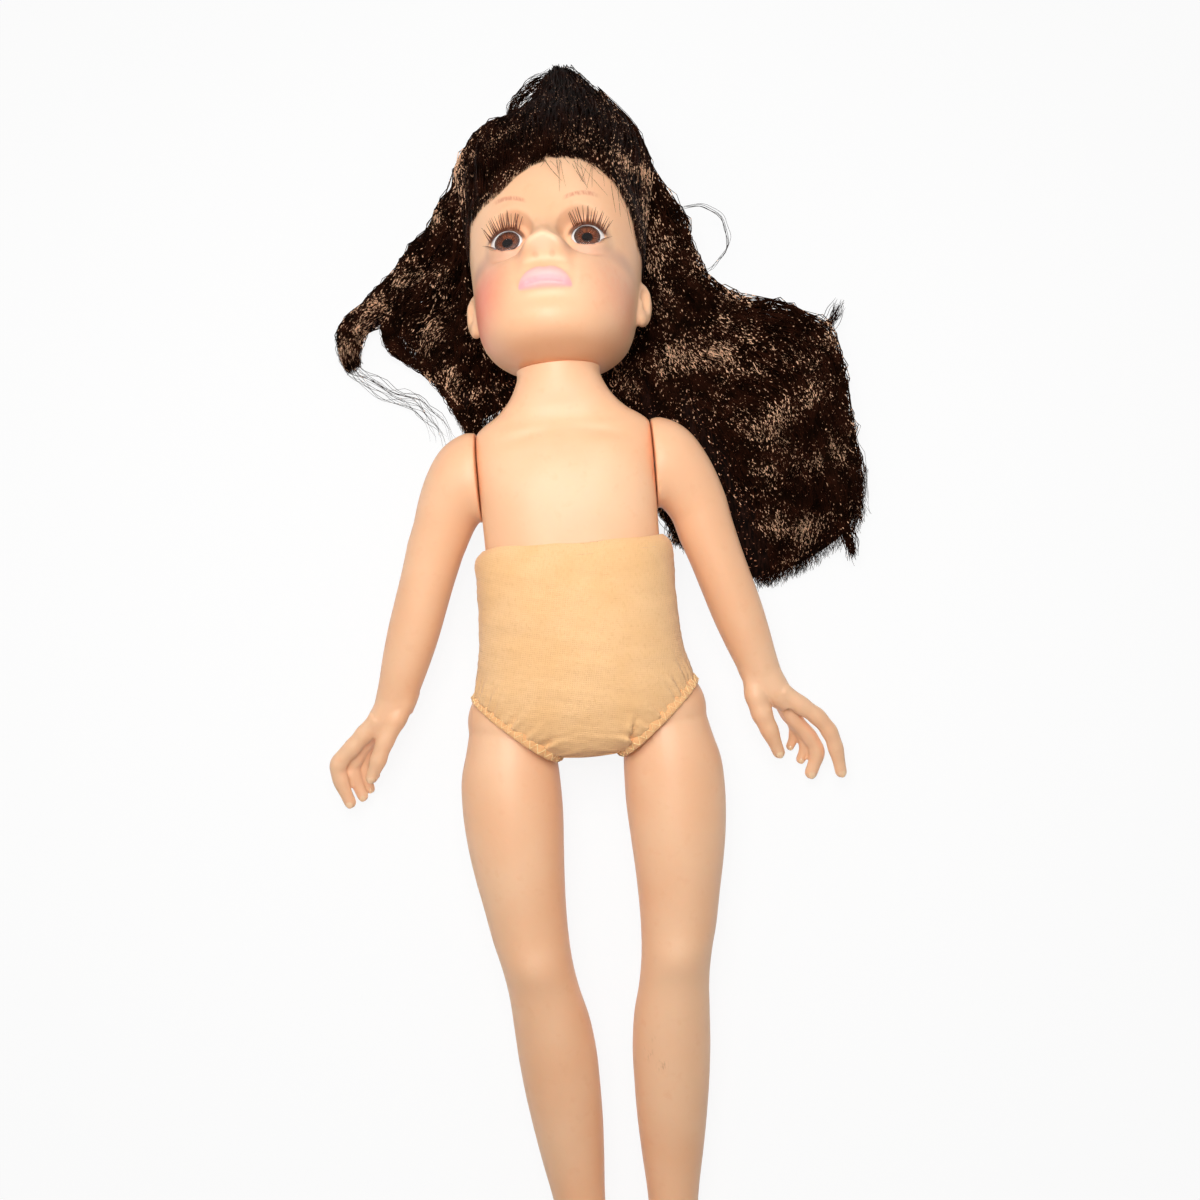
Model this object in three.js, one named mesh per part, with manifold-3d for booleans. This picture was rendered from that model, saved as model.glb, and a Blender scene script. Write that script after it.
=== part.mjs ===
// A play doll of 457 mm, lying on its back with its hair spread on the surface: a hollow vinyl head with
// fixed eyes and rooted hair, a vinyl chest plate with the neck, vinyl arms and legs, and a stuffed cloth torso.
// Millimetres. +Z is up and is the doll's front, +Y runs to the head, +X is the doll's left hand.
// The origin lies on the surface under the seat of the torso.
import * as THREE from 'three';
import { mergeVertices } from 'three/addons/utils/BufferGeometryUtils.js';
import Module from 'manifold-3d';

const wasm = await Module();
wasm.setup();
const rad = THREE.MathUtils.degToRad;
const v3 = (x, y, z) => new THREE.Vector3(x, y, z);

// Driving dimensions of the pose
const HIP_HEIGHT = 28;           // hip pivots above the surface
const HIP_ALONG = 3;             // hip pivots from the origin, towards the head
const TORSO_LIFT = 10.5;         // degrees, the shoulders are propped up by the deep head
const HEAD_BACK = 20.5;          // degrees, the chin is tipped up from the line of the neck
const HEAD_LEAN = 3;             // degrees, the crown leans to the doll's left
const HEAD_TURN = 3;             // degrees, the face looks to its own right
const ARM_BACK = 5.5;            // degrees, the arms fall back towards the surface
const LEG_SLOPE = 3.9;           // degrees, the legs run down to the heels
const SPLAY = { left: 17, right: 20.5 };   // degrees, each arm away from the body

// Driving dimensions of the torso, in its own frame: y up from the hips, z to the front
const HIP_APART = 30;            // hip pivot from the middle
const HIP_BALL = 19;             // radius of the thigh's ball
const NECK_SEAM = 142;           // height of the seam between neck and head
const NECK_R = 17;
const NECK_GROOVE_R = 13.5;
const NECK_FLANGE_R = 15.6;
const SHOULDER_UP = 101;         // height of the arm pivots
const SHOULDER_FACE = 35.5;      // flat side of the chest plate
const PLATE_WALL = 2.5;
const PLATE_FOOT = 52;           // lower rim of the chest plate
const CLOTH_TOP = 70.5;          // folded upper edge of the cloth
const CLOTH = 1.4;               // cloth and its seam allowance
const GAP = 0.3;                 // between pieces that rest on each other
const RUN = 0.4;                 // round the thigh's ball

// Driving dimensions of the joint hardware
const STEM_R = 4;
const STEM_HEAD_R = 5.6;
const STEM_HEAD = 1.8;
const WASHER_R = 7.8;
const WASHER = 1.5;
const STEM_IN_LIMB = 9;
const TIE_WIDTH = 3.6;
const TIE_THICK = 1.2;
const TIE_UP = 58;

// Driving dimensions of the head, in its own frame: y up from the neck seam, z to the face
const HEAD_WALL = 2.8;
const EYE_APART = 16;
const EYE_UP = 39;
const EYE_IN = 1.2;              // eyeball centres nearer the middle than the openings
const EYE_FORWARD = 23.3;
const EYE_R = 10.5;
const EYE_GAZE = 6.5;            // degrees, the iris turned out to the middle of the opening
const EYE_WIDE = 12.9;
const EYE_TALL = 9.4;
const LID = 1.1;                 // skin over the eyeball
const LID_REACH = [7.5, 11.5];   // the skin follows the eyeball within the first, and the face beyond the second
const IRIS_R = 4.2;
const IRIS_THICK = 0.6;
const IRIS_DEEP = 1.7;
const CUP_WALL = 1.8;
const HAIR_THICK = 3.4;

const SKIN = new THREE.Color(0.93, 0.66, 0.47);
const finish = (color, roughness, metalness = 0) => new THREE.MeshStandardMaterial({ color, roughness, metalness });
const vinyl = finish(SKIN, 0.45);
const cloth = finish(new THREE.Color(0.95, 0.72, 0.45), 0.9);
const hairFibre = finish(new THREE.Color(0.05, 0.03, 0.02), 0.4);
const nylon = finish(new THREE.Color(0.85, 0.85, 0.82), 0.5);
const doll = new THREE.Group();

// Sides of the faceted outlines; pieces that rest on each other share them
const PLATE_SIDES = 20;
const TORSO_SIDES = 20;
const ROOM_SIDES = 14;
const LIMB_SIDES = 12;
const EYE_FACETS = [14, 8];

// Frames that the pieces are placed in
const torsoFrame = new THREE.Group();
torsoFrame.position.set(0, HIP_ALONG, HIP_HEIGHT);
torsoFrame.rotation.x = rad(TORSO_LIFT);
const headFrame = new THREE.Group();
headFrame.position.set(0, NECK_SEAM, 0);
headFrame.rotation.set(-rad(HEAD_BACK), -rad(HEAD_TURN), -rad(HEAD_LEAN), 'XZY');
torsoFrame.add(headFrame);
doll.add(torsoFrame);
const sides = { left: 1, right: -1 };

// Solids: closed meshes from stacks of rings, and their cuts and joins

function signedVolume(points, index) {
  let sum = 0;
  for (let i = 0; i < index.length; i += 3) {
    sum += points[index[i]].dot(points[index[i + 1]].clone().cross(points[index[i + 2]]));
  }
  return sum / 6;
}

function closedMesh(points, index) {
  if (signedVolume(points, index) < 0) {
    for (let i = 0; i < index.length; i += 3) [index[i], index[i + 1]] = [index[i + 1], index[i]];
  }
  const geometry = new THREE.BufferGeometry();
  geometry.setAttribute('position', new THREE.Float32BufferAttribute(points.flatMap(p => [p.x, p.y, p.z]), 3));
  geometry.setIndex(index);
  return geometry;
}

// A body through rings that have the same number of points, each end closed by a fan to its middle
function loft(rings) {
  const sidesOfRing = rings[0].length;
  const points = rings.flat();
  const index = [];
  for (let r = 0; r + 1 < rings.length; r++) {
    for (let i = 0; i < sidesOfRing; i++) {
      const a = r * sidesOfRing + i;
      const b = r * sidesOfRing + (i + 1) % sidesOfRing;
      index.push(a, b, a + sidesOfRing, b, b + sidesOfRing, a + sidesOfRing);
    }
  }
  for (const [ring, start, flip] of [[rings[0], 0, 1], [rings.at(-1), (rings.length - 1) * sidesOfRing, 0]]) {
    const middle = ring.reduce((m, p) => m.add(p), v3(0, 0, 0)).divideScalar(sidesOfRing);
    const hub = points.push(middle) - 1;
    for (let i = 0; i < sidesOfRing; i++) {
      const a = start + i;
      const b = start + (i + 1) % sidesOfRing;
      index.push(...(flip ? [b, a, hub] : [a, b, hub]));
    }
  }
  return closedMesh(points, index);
}

// A closed band: rings that go round a loop and meet themselves
function loop(rings) {
  const n = rings[0].length;
  const index = [];
  for (let r = 0; r < rings.length; r++) {
    const next = (r + 1) % rings.length;
    for (let i = 0; i < n; i++) {
      const j = (i + 1) % n;
      index.push(r * n + i, r * n + j, next * n + i, r * n + j, next * n + j, next * n + i);
    }
  }
  return closedMesh(rings.flat(), index);
}

function solid(geometry) {
  const bare = geometry.clone();
  bare.deleteAttribute('normal');
  bare.deleteAttribute('uv');
  const merged = mergeVertices(bare, 1e-4);
  const mesh = new wasm.Mesh({
    numProp: 3,
    vertProperties: new Float32Array(merged.attributes.position.array),
    triVerts: new Uint32Array(merged.index.array),
  });
  return new wasm.Manifold(mesh);
}

function geometryOf(body) {
  const mesh = body.getMesh();
  const geometry = new THREE.BufferGeometry();
  geometry.setAttribute('position', new THREE.Float32BufferAttribute(mesh.vertProperties, 3));
  geometry.setIndex([...mesh.triVerts]);
  return geometry;
}

const join = (first, ...others) => others.reduce((body, other) => body.add(other), first);
const cut = (first, ...others) => others.reduce((body, other) => body.subtract(other), first);
const placed = (geometry, matrix) => solid(geometry.clone().applyMatrix4(matrix));
const box = (lo, hi) => {
  const size = hi.clone().sub(lo);
  const middle = lo.clone().add(hi).multiplyScalar(0.5);
  return solid(new THREE.BoxGeometry(size.x, size.y, size.z).translate(middle.x, middle.y, middle.z));
};
const ball = (r, x, y, z, across = 16, down = 10) =>
  solid(new THREE.SphereGeometry(r, across, down).rotateZ(Math.PI / 2).translate(x, y, z));
// A rod along X from x0 to x1
const rodX = (r, x0, x1, y, z, around = 14) =>
  solid(new THREE.CylinderGeometry(r, r, Math.abs(x1 - x0), around).rotateZ(Math.PI / 2).translate((x0 + x1) / 2, y, z));
// A rod along Y from y0 to y1
const rodY = (r, y0, y1, x, z, around = 24) =>
  solid(new THREE.CylinderGeometry(r, r, y1 - y0, around).translate(x, (y0 + y1) / 2, z));

function add(name, body, material, parent = torsoFrame) {
  const geometry = body.isBufferGeometry ? body : geometryOf(body);
  geometry.computeVertexNormals();
  const mesh = new THREE.Mesh(geometry, material);
  mesh.name = name;
  parent.add(mesh);
  return mesh;
}

// Smooth values between stations that are numbered 0, 1, 2 ..: a Catmull-Rom curve through each column
function between(stations, t) {
  const last = stations.length - 1;
  const i = Math.min(Math.floor(t), last - 1);
  const f = t - i;
  const [p, q, r, s] = [i - 1, i, i + 1, i + 2].map(k => stations[Math.min(Math.max(k, 0), last)]);
  return q.map((value, c) => {
    const bend = 2 * p[c] - 5 * value + 4 * r[c] - s[c];
    const twist = 3 * value - p[c] - 3 * r[c] + s[c];
    return value + 0.5 * f * (r[c] - p[c] + f * (bend + f * twist));
  });
}

// Unit superellipse of the given exponent, at an angle from +x
const squircle = (angle, power) => {
  const c = Math.cos(angle);
  const s = Math.sin(angle);
  return [Math.sign(c) * Math.abs(c) ** (2 / power), Math.sign(s) * Math.abs(s) ** (2 / power)];
};

// A level ring of a body whose stations are [height, half width, front, back, power of the superellipse]
function levelRing(stations, t, count, grow) {
  const [y, half, front, back, power] = between(stations, t);
  const wide = Math.max(half + grow, 0.05);
  const deep = Math.max((front - back) / 2 + grow, 0.05);
  return Array.from({ length: count }, (_, i) => {
    const [c, s] = squircle((2 * Math.PI * (i + 0.5)) / count, power);
    return v3(wide * c, y, (front + back) / 2 + deep * s);
  });
}

function levelLoft(stations, from, to, steps, count, grow = 0) {
  const rings = [];
  for (let k = 0; k <= steps; k++) rings.push(levelRing(stations, from + ((to - from) * k) / steps, count, grow));
  return solid(loft(rings));
}

// Chest plate: the shoulders and the neck in one moulding, open below
const plateStations = [
  [46, 34.6, 21.0, -20.0, 2.7],
  [60, 35.6, 22.3, -21.0, 2.7],
  [80, 36.2, 23.0, -21.8, 2.7],
  [96, 37.0, 22.6, -21.6, 2.7],
  [108, 37.4, 19.8, -19.8, 2.7],
  [116, 36.6, 16.6, -17.6, 2.6],
  [120.5, 33.0, 14.6, -16.2, 2.5],
  [125, 26.5, 14.4, -16.0, 2.3],
  [131, 21.0, 15.6, -16.6, 2.1],
  [NECK_SEAM - 4, NECK_R + 0.4, NECK_R - 0.4, -NECK_R, 2],
  [NECK_SEAM, NECK_R, NECK_R, -NECK_R, 2],
];
const plateTop = plateStations.length - 1;
const FLANGE_UP = NECK_SEAM + 3.4;
const FLANGE_THICK = 3;

function chestPlate() {
  const slab = box(v3(-SHOULDER_FACE, PLATE_FOOT, -60), v3(SHOULDER_FACE, NECK_SEAM, 60));
  const skin = levelLoft(plateStations, 0, plateTop, 12, PLATE_SIDES, 0).intersect(slab);
  const neckPost = rodY(NECK_GROOVE_R, NECK_SEAM - 6, FLANGE_UP + 0.5, 0, 0);
  const flange = rodY(NECK_FLANGE_R, FLANGE_UP, FLANGE_UP + FLANGE_THICK, 0, 0);
  const inside = SHOULDER_FACE - PLATE_WALL;
  const core = levelLoft(plateStations, 0, plateTop - 1.4, 8, PLATE_SIDES - 4, -PLATE_WALL)
    .intersect(box(v3(-inside, PLATE_FOOT - 8, -60), v3(inside, NECK_SEAM, 60)));
  const bore = rodY(NECK_GROOVE_R - PLATE_WALL, 120, FLANGE_UP + FLANGE_THICK + 1, 0, 0, 24);
  const armHoles = Object.values(sides).map(s =>
    rodX(STEM_R + GAP, s * (inside - 2), s * (SHOULDER_FACE + 1), SHOULDER_UP, 0));
  const band = box(v3(-60, TIE_UP - TIE_WIDTH / 2 - GAP, -60), v3(60, TIE_UP + TIE_WIDTH / 2 + GAP, 60));
  const groove = cut(
    levelLoft(plateStations, 0, 3, 3, PLATE_SIDES, 6).intersect(band),
    levelLoft(plateStations, 0, 3, 2, PLATE_SIDES, -TIE_THICK - GAP),
  );
  return cut(join(skin, neckPost, flange), core, bore, ...armHoles, groove);
}

// Waist tie: a cable tie in the groove of the chest plate, with its ratchet block at the back
function waistTie() {
  const band = box(v3(-60, TIE_UP - TIE_WIDTH / 2, -60), v3(60, TIE_UP + TIE_WIDTH / 2, 60));
  const ring = cut(
    levelLoft(plateStations, 0, 3, 2, PLATE_SIDES, -0.1).intersect(band),
    levelLoft(plateStations, 0, 3, 2, PLATE_SIDES, -TIE_THICK - 0.02),
  );
  const [, , , back] = between(plateStations, 1);
  const block = box(v3(-3, TIE_UP - 2.4, back - 1.6), v3(3, TIE_UP + 2.4, back + 0.6));
  return cut(join(ring, block), levelLoft(plateStations, 0, 3, 2, PLATE_SIDES, -TIE_THICK - 0.02).intersect(band),
    cut(box(v3(-3.2, TIE_UP - 5, back - 0.1), v3(3.2, TIE_UP + 5, back + 6)), band));
}

// Torso cover: a stuffed cloth body, from the folded edge round the chest plate down to the crotch
const torsoStations = [
  [-15.5, 2, 1, -1, 2.3],
  [-14.8, 12, 13, -16, 2.3],
  [-12.2, 24, 21, -24.4, 2.3],
  [-7, 37, 25.6, -29.8, 2.35],
  [1, 43.6, 28, -30.8, 2.35],
  [12, 45.2, 29.4, -30.6, 2.35],
  [24, 42.8, 29.4, -28.2, 2.35],
  [38, 41.4, 29, -27.4, 2.4],
  [52, 41, 28, -26.4, 2.45],
  [62, 41, 27, -25.4, 2.5],
  [67.5, 40.4, 26, -24.6, 2.5],
  [CLOTH_TOP, 37.8, 24.4, -23.2, 2.5],
];
const torsoTop = torsoStations.length - 1;

// The plane of a leg opening leaves the hip at the outside and comes in to the crotch
const OPENING_OUT = v3(46, 14, 0);
const OPENING_IN = v3(13, -13, 0);
const openingAlong = OPENING_OUT.clone().sub(OPENING_IN).normalize();
const openingNormal = v3(openingAlong.y, -openingAlong.x, 0);
const openingDepth = openingNormal.dot(OPENING_OUT);

// Everything on the thigh's side of a leg opening
function beyondOpening(side, shift = 0) {
  const slab = new THREE.BoxGeometry(120, 60, 120).translate(0, -30, 0);
  const turn = new THREE.Matrix4().makeRotationZ(Math.atan2(openingAlong.y, openingAlong.x));
  const at = openingNormal.clone().multiplyScalar(openingDepth + shift);
  const matrix = new THREE.Matrix4().makeTranslation(at.x, at.y, at.z).multiply(turn);
  const half = placed(slab, matrix).intersect(box(v3(0, -90, -90), v3(90, 60, 90)));
  return side > 0 ? half : half.mirror([1, 0, 0]);
}

const hipBalls = r => Object.values(sides).map(s => ball(r, s * HIP_APART, 0, 0));
const stemWindow = Object.values(sides).map(s => rodX(STEM_R + GAP, s * 4, s * HIP_APART, 0, 0));
// The surface that the doll lies on, as a half space in the torso's frame
function belowSurface(rise = 0) {
  const under = new THREE.BoxGeometry(400, 600, 60).translate(0, 0, rise - 30);
  const matrix = new THREE.Matrix4().makeRotationX(rad(TORSO_LIFT)).setPosition(0, HIP_ALONG, HIP_HEIGHT).invert();
  return placed(under, matrix);
}

// The room inside the cloth
const torsoInside = gap => levelLoft(torsoStations, 0.6, torsoTop, 7, ROOM_SIDES, -CLOTH - gap);

function torsoCover(legRoom) {
  const plateRoom = levelLoft(plateStations, 0, 6, 5, PLATE_SIDES, GAP);
  const skin = levelLoft(torsoStations, 0, torsoTop, 12, TORSO_SIDES, 0);
  const hollow = cut(
    torsoInside(0),
    ...hipBalls(HIP_BALL + RUN + CLOTH),
    ...Object.values(sides).map(s => beyondOpening(s, -CLOTH)),
    belowSurface(CLOTH),
  );
  const mouth = levelLoft(torsoStations, torsoTop - 1, torsoTop, 1, ROOM_SIDES, -CLOTH - 0.6);
  return cut(skin, hollow, mouth.translate([0, 1, 0]), plateRoom,
    ...Object.values(sides).map(s => beyondOpening(s)), ...legRoom, ...stemWindow, belowSurface());
}

// Torso stuffing: one soft filling that stops below the chest plate
function torsoStuffing() {
  const room = CLOTH + GAP;
  const filling = torsoInside(GAP)
    .intersect(box(v3(-80, -60, -80), v3(80, PLATE_FOOT - 0.6, 80)));
  const hardware = Object.values(sides).map(s => rodX(WASHER_R + GAP, 0, s * (HIP_APART - HIP_BALL), 0, 0));
  return cut(filling, ...hipBalls(HIP_BALL + RUN + room), ...hardware, belowSurface(room),
    ...Object.values(sides).map(s => beyondOpening(s, -room)));
}

// Leg binding: the elastic edge of a leg opening, which follows the cloth's own outline in the opening's plane
const BIND_WIDE = 3;
const BIND_THICK = 1.5;

function insideTorso(point) {
  let low = 0;
  let high = torsoTop;
  for (let k = 0; k < 30; k++) {
    const t = (low + high) / 2;
    if (between(torsoStations, t)[0] < point.y) low = t; else high = t;
  }
  if (point.y < torsoStations[0][0]) return false;
  const [, half, front, back, power] = between(torsoStations, low);
  const x = Math.abs(point.x) / half;
  const z = Math.abs(point.z - (front + back) / 2) / ((front - back) / 2);
  return x ** power + z ** power < 1;
}

function bindingPath(side, count) {
  const hub = v3(HIP_APART, 0, 0);
  hub.addScaledVector(openingNormal, openingDepth - openingNormal.dot(hub));
  return Array.from({ length: count }, (_, i) => {
    const angle = (2 * Math.PI * i) / count;
    const ray = openingAlong.clone().multiplyScalar(Math.cos(angle)).add(v3(0, 0, Math.sin(angle)));
    let near = 0;
    let far = 60;
    for (let k = 0; k < 30; k++) {
      const reach = (near + far) / 2;
      if (insideTorso(hub.clone().addScaledVector(ray, reach))) near = reach; else far = reach;
    }
    const point = hub.clone().addScaledVector(ray, near - BIND_THICK / 2);
    point.addScaledVector(openingNormal, BIND_WIDE / 2 + GAP);
    return { point: v3(side * point.x, point.y, point.z), out: v3(side * ray.x, ray.y, ray.z) };
  });
}

function legBinding(side, legRoom) {
  const across = v3(side * openingNormal.x, openingNormal.y, 0);
  const rings = bindingPath(side, 22).map(({ point, out }) => Array.from({ length: 5 }, (_, i) => {
    const [c, s] = squircle((2 * Math.PI * (i + 0.25)) / 5, 2.6);
    return point.clone().addScaledVector(across, (BIND_WIDE / 2) * c).addScaledVector(out, (BIND_THICK / 2) * s);
  }));
  return cut(solid(loop(rings)), ...legRoom, belowSurface());
}

// Stems and washers: a headed pin is pushed through the shell or cloth into the limb, and clamps it with a washer
function stem(side, wall, inLimb, up) {
  const washerFace = wall - GAP;
  const headFace = washerFace - WASHER - GAP;
  return join(
    rodX(STEM_R, side * (headFace - 1), side * (inLimb + STEM_IN_LIMB), up, 0),
    rodX(STEM_HEAD_R, side * (headFace - STEM_HEAD), side * headFace, up, 0),
  );
}

function washer(side, wall, up) {
  const face = wall - GAP;
  return cut(rodX(WASHER_R, side * (face - WASHER), side * face, up, 0),
    rodX(STEM_R + GAP, side * (face - WASHER - 1), side * (face + 1), up, 0));
}

// Arms: a rounded shoulder cap on a flat face, a straight sleeve of vinyl and a sculpted hand
const ARM_AXIS = 46.3;           // where the arm's line meets the height of the pivots
const armStations = [            // along the arm's line from there: half width, half depth
  [30, 11.6, 12.0],
  [42, 11.0, 11.4],
  [54, 10.8, 11.0],
  [66, 10.6, 10.4],
  [78, 9.8, 9.6],
  [88, 8.8, 8.6],
  [94, 8.4, 8.0],
  [99, 8.2, 7.6],
];
const capStations = [            // out, down from the pivot, tilt of the section, half height, half depth
  [SHOULDER_FACE + GAP, 0, 0, 18, 15.8],
  [38.6, 0.2, 6, 18.4, 16.2],
  [43, 2.4, 22, 17.0, 15.8],
  [47, 7.6, 45, 14.4, 14.8],
  [50.2, 13.4, 60, 12.9, 13.6],
  [53, 20, 70, 12, 12.6],
];

// Fingers in the arm's frame: along the arm from the wrist, outward, towards the front, radius
const hands = {
  left: {
    palm: [[-4, -0.6, 0, 8.2, 7.6], [4, 0.2, 0, 8.2, 8], [11, 2.6, -0.8, 6.8, 8.8], [18, 5.6, -1.6, 5, 8]],
    fingers: [
      [[10, 4.6, 4, 4], [19.2, 10.4, 4, 3.8], [26, 14.8, 4, 3.6], [34, 17.4, 3.8, 3.4], [42, 17.4, 3.6, 3.2], [52, 16, 3.6, 2.4]],
      [[12, 3.6, -0.4, 3.6], [24, 5.8, -0.8, 3.5], [34, 9.3, -1, 3.3], [41.9, 10, -1.2, 3.3], [49.4, 4.6, -1.2, 2.6]],
      [[12, 3.2, -4, 3.4], [23, 4.8, -4.6, 3.2], [32, 7.4, -5, 3], [38.6, 7, -5.2, 2.8], [43.6, 3, -5.2, 2]],
      [[11, 3, -7, 3], [20, 4.2, -7.8, 2.8], [28, 5.8, -8.2, 2.6], [33.6, 4.4, -8.4, 2.4], [37.6, 1, -8.4, 1.8]],
    ],
    thumb: [[0, -3.4, 2, 5], [8, -5.6, 4, 4.8], [16, -6.2, 5, 4.4], [24, -5.8, 5.4, 3.7], [34, -5.5, 5, 2.5]],
  },
  right: {
    palm: [[-4, -0.8, 0, 8.2, 7.6], [4, 0, 0, 8, 8], [11, 2.8, -0.8, 6.8, 8.8], [18, 6.4, -1.6, 5, 8]],
    fingers: [
      [[10, 4.6, 4, 4], [18, 8.6, 4, 3.8], [24.4, 11.8, 4, 3.6], [33, 15.6, 3.8, 3.6], [40, 13, 3.6, 3.2], [48, 7, 3.6, 2.4]],
      [[12, 4, -0.4, 3.6], [21, 7.4, -0.6, 3.5], [31.4, 10.2, -0.8, 3.2], [37.4, 9.2, -1, 3], [45.6, 3.2, -1, 2.2]],
      [[12, 3.6, -4, 3.4], [21, 6, -4.6, 3.2], [29.4, 7.4, -5, 2.9], [35.6, 6.6, -5, 2.7], [43, 1.4, -5, 1.9]],
      [[11, 3.2, -7, 3], [18.6, 5, -7.8, 2.8], [26, 5.8, -8.2, 2.5], [32, 4.8, -8.2, 2.3], [37.6, 1, -8.2, 1.7]],
    ],
    thumb: [[0, -3.6, 2, 5], [8, -2.4, 4.2, 4.6], [18.2, -0.8, 6, 3.7], [26.4, -0.2, 6.6, 3.4], [34, 0.6, 6.4, 2.5]],
  },
};
const WRIST = 94;
const PALM_SIDES = 10;
const FINGER_SIDES = 6;

function sweep(path, count, rounded = true) {
  const points = path.map(p => v3(p[0], p[1], p[2]));
  const curve = new THREE.CatmullRomCurve3(points);
  const steps = path.length + 1;
  const rings = [];
  for (let k = 0; k <= steps; k++) {
    const t = k / steps;
    const radius = between(path.map(p => [p[3]]), t * (path.length - 1))[0];
    const ahead = curve.getTangent(t);
    const side = v3(0, 0, 1).cross(ahead).normalize();
    const up = ahead.clone().cross(side);
    const at = curve.getPoint(t);
    rings.push(Array.from({ length: count }, (_, i) => {
      const angle = (2 * Math.PI * i) / count;
      return at.clone().addScaledVector(side, radius * Math.cos(angle)).addScaledVector(up, radius * Math.sin(angle));
    }));
    if (k === steps && rounded) {
      const tip = at.clone().addScaledVector(ahead, radius * 0.7);
      rings.push(rings.at(-1).map(p => tip.clone().addScaledVector(p.clone().sub(at), 0.6)));
    }
  }
  return solid(loft(rings));
}

function armSolid(name, grow = 0) {
  const splay = rad(SPLAY[name]);
  const along = v3(Math.sin(splay), -Math.cos(splay), 0);
  const outward = v3(Math.cos(splay), Math.sin(splay), 0);
  const root = v3(ARM_AXIS, SHOULDER_UP, 0);
  const oval = (middle, across, half, deep, count = LIMB_SIDES) => Array.from({ length: count }, (_, i) => {
    const angle = (2 * Math.PI * i) / count;
    return middle.clone().addScaledVector(across, (half + grow) * Math.cos(angle))
      .add(v3(0, 0, (deep + grow) * Math.sin(angle)));
  });
  const rings = [];
  for (let t = 0; t <= capStations.length - 1; t += 0.5) {
    const [out, down, tilt, half, deep] = between(capStations, t);
    const slant = rad(tilt);
    const start = t === 0 && grow > 0 ? grow : 0;
    rings.push(oval(v3(out - start, SHOULDER_UP - down, 0), v3(Math.sin(slant), Math.cos(slant), 0), half, deep));
  }
  for (let t = 0; t <= armStations.length - 1; t++) {
    const [s, half, deep] = between(armStations, t);
    rings.push(oval(root.clone().addScaledVector(along, s), outward, half, deep));
  }
  const sleeve = solid(loft(rings));
  const handFrame = new THREE.Matrix4().makeBasis(along, outward, v3(0, 0, -1));
  handFrame.setPosition(root.clone().addScaledVector(along, WRIST));
  // Rows of the hand tables hold the front as +z, and the frame's third axis points back
  const toFrame = rows => rows.map(([d, o, f, ...rest]) => [d, o, -f, ...rest]);
  const { palm, fingers, thumb } = hands[name];
  const palmRings = [];
  for (let t = 0; t <= palm.length - 1; t += 0.5) {
    const [d, o, f, thick, broad] = between(toFrame(palm), t);
    palmRings.push(Array.from({ length: PALM_SIDES }, (_, i) => {
      const [c, s] = squircle((2 * Math.PI * i) / PALM_SIDES, 2.3);
      return v3(d, o + (thick + grow) * c, f + (broad + grow) * s);
    }));
  }
  const digits = [...fingers, thumb].map(rows => sweep(toFrame(rows).map(([d, o, f, r]) => [d, o, f, r + grow]), FINGER_SIDES));
  const hand = join(solid(loft(palmRings)), ...digits).transform(handFrame.elements);
  return join(sleeve, hand);
}

// Legs: a ball that sits in the leg opening, a straight thigh, knee, calf and a foot with five toes
const legStations = [            // down from the hip, outward, half width, forward, half depth
  [-2, 0.6, 17.9, 0, 17.9],
  [-11, 2.2, 18.3, 0, 18.8],
  [-22, 3.2, 20.0, 0, 19.6],
  [-36, 3.2, 20.3, 0, 19.8],
  [-50, 2.9, 19.3, 0.2, 19.2],
  [-62, 2.2, 17.9, 0.4, 18.2],
  [-74, 1.1, 16.4, 0.6, 16.9],
  [-86, -0.2, 15.2, 0.9, 15.8],
  [-97, -2.1, 14.1, 1.3, 15.2],
  [-108, -4.0, 14.1, 0.4, 14.6],
  [-120, -5.9, 15.2, -1.2, 15.4],
  [-133, -7.2, 15.6, -2.0, 15.6],
  [-146, -8.2, 15.0, -1.8, 14.8],
  [-159, -9.3, 13.9, -1.4, 13.6],
  [-172, -10.3, 12.3, -1.0, 12.0],
  [-186, -11.4, 10.3, -0.6, 10.4],
  [-198, -12.2, 9.2, -0.2, 9.8],
  [-206, -12.6, 9.0, -0.4, 10.0],
];
const footStations = [           // forward from the ankle's line, outward, half width, top, sole
  [-13.4, -12.6, 1, -209, -211],
  [-12.4, -12.6, 6.2, -204, -216.6],
  [-8, -12.6, 9.2, -199, -219.4],
  [1, -12.5, 10.2, -194, -220],
  [12, -12.3, 10.4, -195, -220],
  [22, -12.0, 11.2, -201.5, -219],
  [33, -11.4, 12.7, -207, -219.6],
  [41, -11.2, 12.8, -210.4, -220],
  [45, -11.2, 11.8, -212, -219.6],
  [46.5, -11.2, 10.0, -213, -218.6],
];
const SOLE_SIDES = 12;
const TOES = [[-8.6, 4.3, 47.2], [-3, 3.2, 47.6], [1.8, 2.9, 46.6], [6.2, 2.7, 45], [10, 2.5, 42.6]];

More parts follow.
